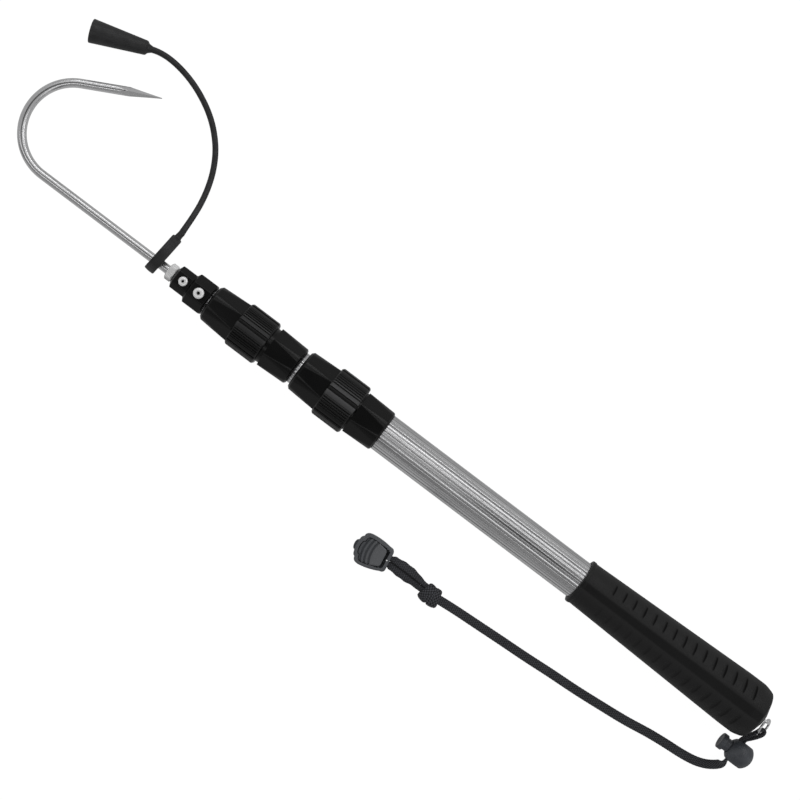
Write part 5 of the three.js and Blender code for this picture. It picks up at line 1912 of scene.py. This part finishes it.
@dataclass
class Clip:
    """The clothing clip: a frame, a sprung thumb lever and the rivet that holds the cord."""

    place: Pair = (0.2281, 0.06335)
    heading: float = 10
    length: float = 0.0236
    cord_half: float = 0.0082
    cord_corner: float = 0.003
    wide_half: float = 0.0105
    wide_place: float = 0.0165
    far_half: float = 0.0068
    height: float = 0.0076
    edge: float = 0.0007
    rim: float = 0.0021
    floor: float = 0.0022
    tab_half: float = 0.0034
    tab_reach: float = 0.0016
    tab_height: float = 0.0032
    fork_depth: float = 0.0076
    fork_half: float = 0.0057
    fork_low: float = 0.0017
    fork_high: float = 0.0064
    slot_place: float = 0.003
    slot_width: float = 0.0007
    roof_top: float = 0.0068
    plate_low: float = 0.00715
    plate_start: float = 0.0043
    well_low: float = 0.0046
    wells: tuple[Pair, ...] = ((0.0031, 0.0064), (0.0052, 0.0071))
    lever_start: float = 0.0086
    swing_gap: float = 0.0008
    lever_low: float = 0.004
    lever_thickness: float = 0.0035
    lever_gap: float = 0.0003
    valley_count: int = 3
    valley_pitch: float = 0.0029
    valley_depth: float = 0.0008
    valley_half: float = 0.0007
    first_valley: float = 0.0024
    valley_bow: float = 0.0016
    valley_shade: float = 0.35
    plate_inset: float = 0.0008
    plate_round: float = 0.0011
    lever_rows: tuple[int, int] = (40, 110)
    lever_columns: int = 72
    side_drop: float = 0.0003
    side_share: float = 0.88
    end_drops: Pair = (0.0002, 0.0005)
    past: float = 0.001
    overlap: float = 0.0004
    voxel: float = 0.0002
    soften: int = 4
    rim_wear: float = 0.6
    rim_wear_depths: Pair = (0.0012, 0.0003)
    rivet_share: float = 0.36
    rivet_neck: float = 0.6
    rivet_top: float = 0.72
    rivet_heights: tuple[float, float, float] = (0.0007, 0.0006, 0.0001)
    rivet_corner: float = 0.0003
    rivet_columns: int = 48
    plastic: Finish = DarkMoulding()
    steel: Finish = ScrewSteel()

    def stand(self) -> Matrix:
        """The clip's place on the surface."""
        return Matrix.Translation((*self.place, 0)) @ turn_about("Z", self.heading)

    def outline(self, inset: float, count: int = 24) -> Array:
        """The clip's outline, drawn in from its edge.

        Args:
            inset: how far it is drawn in.
            count: the number of points on each curve.

        Returns:
            The points, round the whole outline.
        """
        def bow(start: Point, pull: Point, end: Point) -> Array:
            """A curve from one point to another, pulled towards a third."""
            t = np.linspace(0, 1, count, endpoint=False)[:, None]
            return (1 - t) ** 2 * np.array(start) + 2 * t * (1 - t) * np.array(pull) + t ** 2 * np.array(end)

        near, wide, far = (half - inset for half in (self.cord_half, self.wide_half, self.far_half))
        start, end = inset, self.length - inset
        corner = start + self.cord_corner
        waist = (start, near - self.cord_corner)
        upper = np.vstack([
            bow((start, 0), (start, waist[1] / 2), waist),
            bow(waist, (start, near), (corner, near)),
            bow((corner, near), ((corner + self.wide_place) / 2, wide), (self.wide_place, wide)),
            bow((self.wide_place, wide), (end - self.rim, wide), (end - self.rim, far)),
            bow((end - self.rim, far), (end, far), (end, 0)),
            [(end, 0)],
        ])
        lower = upper[-2:0:-1] * [1, -1]
        return np.vstack([upper, lower])

    def slab(self, levels: Sequence[Pair]) -> Skin:
        """A body through outlines at several heights, from pairs of inset and height."""
        return through_rings(np.stack([level(self.outline(inset), height) for inset, height in levels]))

    def tab(self) -> Skin:
        """The thumb tab that stands out at the far end.

        Returns:
            Its skin.
        """
        turns = np.linspace(QUARTER, -QUARTER, 24)
        reach = self.tab_reach * np.cos(turns)
        nose = np.column_stack([self.length + reach, self.tab_half * np.sin(turns)])
        outline = np.vstack([[(self.wide_place, self.tab_half)], nose, [(self.wide_place, -self.tab_half)]])
        return through_rings(np.stack([level(outline, 0.0), level(outline, self.tab_height)]))

    def frame_mesh(self) -> Mesh:
        """The frame, with its recess for the lever, its fork for the cord and the slots round its roof.

        Returns:
            The moulding, with its wear.
        """
        tall = 2 * self.height
        outer = self.slab([(self.edge, 0), (0, self.edge), (0, self.height - self.edge), (self.edge, self.height)])
        roof_end = self.lever_start - self.swing_gap
        whole = self.slab([(self.rim, self.floor), (self.rim, tall)])
        top = tall + self.past
        behind = box_skin((roof_end, -self.length, -self.past), (self.length, self.length, top))
        sunk = self.slab([(self.rim - self.lever_gap, self.roof_top), (self.rim - self.lever_gap, tall)])
        over_roof = box_skin((self.slot_place, -self.length, 0), (roof_end + self.overlap / 2, self.length, top))
        slot = box_skin((self.slot_place - self.slot_width, -self.fork_half, self.fork_high - self.overlap),
                        (self.slot_place, self.fork_half, tall))
        fork = box_skin((-3 * self.past, -self.fork_half, self.fork_low),
                        (self.fork_depth, self.fork_half, self.fork_high))
        wells = [box_skin((start, -half, self.well_low), (roof_end + self.overlap, half, tall + half))
                 for start, half in self.wells]
        cuts = [self.common(whole, behind), self.common(sunk, over_roof), slot, fork, *wells]
        place = self.stand()
        mesh = moulded("clip_frame_moulding", [outer.placed(place), self.tab().placed(place)],
                       [cut.placed(place) for cut in cuts], self.voxel, self.soften)
        heights = np.empty(3 * len(mesh.vertices))
        mesh.vertices.foreach_get("co", heights)
        rim = (self.height - depth for depth in self.rim_wear_depths)
        handled = self.rim_wear * ease(heights[2::3], *rim)
        mesh.attributes.new("handled", "FLOAT", "POINT").data.foreach_set("value", handled.astype(np.float32))
        return mesh

    @staticmethod
    def common(first: Skin, second: Skin) -> Skin:
        """What two skins share, as a skin.

        Args:
            first: one skin.
            second: the other.

        Returns:
            The shared body.
        """
        helpers = [linked(f"common_{number}", skin) for number, skin in enumerate((first, second))]
        combine(helpers[0], "INTERSECT", helpers[1])
        mesh = evaluated(helpers[0])
        points = np.array([tuple(vertex.co) for vertex in mesh.vertices])
        faces = [list(face.vertices) for face in mesh.polygons]
        for done in helpers:
            bpy.data.objects.remove(done)
        return Skin(points, faces)

    def lever(self) -> Skin:
        """The thumb lever: a plate that reaches over the frame's roof, with valleys across its far half.

        Returns:
            Its skin, with its wear and the painted shade in its valleys.
        """
        end = self.length - self.rim - self.lever_gap
        outline = self.outline(self.rim + self.lever_gap, 40)
        upper = outline[(outline[:, 1] > 0) & (outline[:, 0] < end)]
        order = np.argsort(upper[:, 0])
        plate_rows, far_rows = self.lever_rows
        start_drop, far_drop = self.end_drops
        xs = np.concatenate([np.linspace(self.plate_start, self.lever_start, plate_rows, endpoint=False),
                             np.linspace(self.lever_start, end - start_drop, far_rows)])
        half = np.interp(xs, upper[order, 0], upper[order, 1])
        half = half - self.plate_inset * (1 - ease(xs, self.plate_start, self.plate_start + self.plate_round))
        across = np.linspace(-1, 1, self.lever_columns)
        x_grid = xs[:, None] + 0 * across
        bow = self.valley_bow * across ** 2
        valley = np.zeros(x_grid.shape)
        for number in range(self.valley_count):
            middle = end - self.first_valley - number * self.valley_pitch
            valley += np.exp(-((x_grid + bow - middle) / self.valley_half) ** 2)
        height = self.lever_low + self.lever_thickness - self.valley_depth * valley
        handled = (1 - 0.8 * valley) * (1 - 0.7 * ease(x_grid, self.lever_start, end))
        # Painted shade in the valleys.
        painted_darkness = self.valley_shade * valley
        edge_drop = self.side_drop * ease(np.abs(across), self.side_share, 1.0)
        end_drop = start_drop * (1 - ease(xs, self.plate_start, self.plate_start + self.overlap))
        height = height - edge_drop - end_drop[:, None] - far_drop * ease(xs, end - self.past, end)[:, None]
        low = np.where(xs < self.lever_start, self.plate_low, self.lever_low)[:, None] + 0 * across
        upper_side = np.stack([x_grid, half[:, None] * across, height], axis=-1)
        under = np.stack([x_grid, half[:, None] * across, low], axis=-1)[:, ::-1]
        measures = {"handled": np.hstack([handled, 0 * handled]), "deep": np.hstack([painted_darkness, 0 * painted_darkness])}
        return through_rings(np.concatenate([upper_side, under], axis=1), measures).placed(self.stand())

    def rivet(self) -> Skin:
        """The rivet with its domed head.

        Returns:
            Its skin.
        """
        low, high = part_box("clip_rivet")
        head = self.rivet_share * (high.x - low.x) / 2
        neck = self.rivet_neck * head
        neck_end, seat, rim = (high.z - depth for depth in self.rivet_heights)
        profile = rounded([
            (low.z, CLOSED), (low.z, neck), (neck_end, neck), (seat, head), (rim, self.rivet_top * head),
            (high.z, CLOSED),
        ], self.rivet_corner, 4)
        return turned(profile, self.rivet_columns).placed(standing("clip_rivet"))

    def build(self) -> None:
        """Makes the frame, the lever and the rivet, and dresses the pin and the spring inside."""
        lay("clip_frame", self.frame_mesh(), self.plastic, Body.LANYARD, ["clip_body"])
        lay("clip_thumb_lever", self.lever(), self.plastic, Body.LEVER, ["clip_lever"], crease=50)
        lay("clip_cord_rivet", self.rivet(), self.steel, Body.LANYARD, ["clip_rivet"])
        dress(self.steel, "clip_pin", "clip_spring")


@dataclass
class Studio:
    """The camera over the gaff, the pale floor and the soft lights."""

    camera_place: Point = (0.2846, -0.0225, 1.0484)
    right: Pair = (-0.7979, -0.6028)
    lens: float = 73.9
    floor_half: float = 6.0
    distance: float = 1.0
    strip_length: float = 2.2
    surround_glow: float = 0.5
    dark_ceiling: float = 0.03
    gloss_glow: float = 0.36
    dim_side: float = 0.26
    far_dim: float = 0.12
    floor_glow: float = 0.9
    floor_gloss: float = 0.4
    floor_white: float = 1.08
    floor_grey: float = 0.82
    floor_sink: float = 0.00005
    sensor: float = 36
    clip_end: float = 50
    ceiling_edge: Pair = (11, 22)
    dim_rise: Pair = (30, 37)
    dim_fall: Pair = (54, 46)
    far_rise: Pair = (50, 75)

    def camera(self) -> None:
        """Sets the camera straight above, turned as the photograph is."""
        data = bpy.data.cameras.new("camera")
        data.lens = self.lens
        data.sensor_width = self.sensor
        data.clip_end = self.clip_end
        made = linked("camera", data)
        x, y = self.right
        made.matrix_world = Matrix(((x, -y, 0, self.camera_place[0]), (y, x, 0, self.camera_place[1]),
                                    (0, 0, 1, self.camera_place[2]), (0, 0, 0, 1)))
        bpy.context.scene.camera = made

    def floor(self) -> None:
        """A pale floor that keeps a faint shadow."""
        material = bpy.data.materials.new("pale_floor")
        material.use_nodes = True
        graph = Graph(material.node_tree)
        paths = graph.add("ShaderNodeLightPath")
        share = (paths[0] * self.floor_glow + paths[3] + paths[6] * self.floor_glow).clamped()
        strength = self.floor_white - paths[3] * (self.floor_white - self.floor_gloss)
        plain = graph.add("ShaderNodeBsdfDiffuse", None, {"Color": (*[self.floor_grey] * 3, 1)})[0]
        glow = graph.add("ShaderNodeEmission", None, {"Color": (1, 1, 1, 1), "Strength": strength})[0]
        mixed = graph.add("ShaderNodeMixShader", None, {0: share, 1: plain, 2: glow})[0]
        graph.add("ShaderNodeOutputMaterial", None, {"Surface": mixed})
        half = self.floor_half
        mesh = bpy.data.meshes.new("floor")
        mesh.from_pydata([(-half, -half, 0), (half, -half, 0), (half, half, 0), (-half, half, 0)], [], [(0, 1, 2, 3)])
        mesh.materials.append(material)
        made = linked("floor", mesh)
        made.location.z = -self.floor_sink

    def strip(self, name: str, tilt: float, width: float, radiance: float, glossy: bool = True) -> None:
        """A long soft light beside the pole.

        Args:
            name: the light's name.
            tilt: its angle from straight up, positive towards -Y.
            width: its width.
            radiance: how bright it looks.
            glossy: whether reflections show it.
        """
        data = bpy.data.lights.new(name, "AREA")
        data.shape = "RECTANGLE"
        data.size = self.strip_length
        data.size_y = width
        data.energy = radiance * math.pi * self.strip_length * width
        made = linked(name, data)
        angle = math.radians(tilt)
        made.location = (self.camera_place[0], -self.distance * math.sin(angle), self.distance * math.cos(angle))
        made.rotation_euler = (angle, 0, 0)
        made.visible_glossy = glossy

    def world(self) -> None:
        """A white surround for the camera; in reflections it is dark overhead and dimmer on the +Y side."""
        world = bpy.data.worlds.new("surround")
        world.use_nodes = True
        graph = Graph(world.node_tree)
        paths = graph.add("ShaderNodeLightPath")
        towards = graph.add("ShaderNodeTexCoord")[0]
        _, side, up = graph.add("ShaderNodeSeparateXYZ", None, {0: towards})
        ceiling = up.rise(*(math.cos(math.radians(edge)) for edge in self.ceiling_edge))
        dim_start, dim_end, far = (
            side.rise(*(math.sin(math.radians(edge)) for edge in edges))
            for edges in (self.dim_rise, self.dim_fall, self.far_rise)
        )
        dim = dim_start * dim_end
        gloss = (self.dark_ceiling + ceiling * (self.gloss_glow - self.dark_ceiling) - dim * self.dim_side
                 - far * self.far_dim)
        strength = (self.surround_glow + paths[3] * (gloss - self.surround_glow)
                    + paths[0] * (1 - self.surround_glow))
        sky = graph.add("ShaderNodeBackground", None, {"Color": (1, 1, 1, 1), "Strength": strength})[0]
        graph.add("ShaderNodeOutputWorld", None, {"Surface": sky})
        bpy.context.scene.world = world

    def build(self) -> None:
        """Sets the floor, the lights and the world."""
        self.floor()
        self.strip("key_strip", 49, 0.14, 1.9)
        self.strip("near_strip", 24, 0.1, 1.0)
        self.strip("far_strip", -25, 0.1, 1.2)
        self.strip("key_soft", 50, 0.6, 0.6, glossy=False)
        self.world()
        bpy.context.scene.view_settings.view_transform = "Standard"


OUTER_LOCK = TwistLock(
    prefix="outer", nut_body=Body.OUTER_NUT, section=Body.GRIP, body_rear=0.014, body_front=0.0146,
    neck_radius=0.0139, ring_radius=0.0174, ring_length=0.022, nose_rear=0.015, nose_front=0.0141,
    nose_chamfer=0.0015, outer_bore=0.013, inner_bore=0.0114, spigot=0.0129, neck_length=0.001,
)
INNER_LOCK = TwistLock(
    prefix="inner", nut_body=Body.INNER_NUT, section=Body.MIDDLE, body_rear=0.0131, body_front=0.0138,
    neck_radius=0.0125, ring_radius=0.0154, ring_length=0.0223, nose_rear=0.0137, nose_front=0.0125,
    nose_chamfer=0.0016, outer_bore=0.0114, inner_bore=0.0098, spigot=0.0116, neck_length=0.0028, rib_sheen=0.45,
    rear_trim=0.0008,
)


def main() -> None:
    """Builds the camera, then every sub-assembly, then the studio."""
    logging.basicConfig(level=logging.INFO, format="%(message)s")
    studio = Studio()
    studio.camera()
    for assembly in (CordLock(), Lanyard(), TipGuard(), Pole(), HandGrip(), ButtHardware(), OUTER_LOCK, INNER_LOCK,
                     HookSocket(), Hook(), Clip()):
        assembly.build()
    studio.build()


if __name__ == "__main__":
    main()
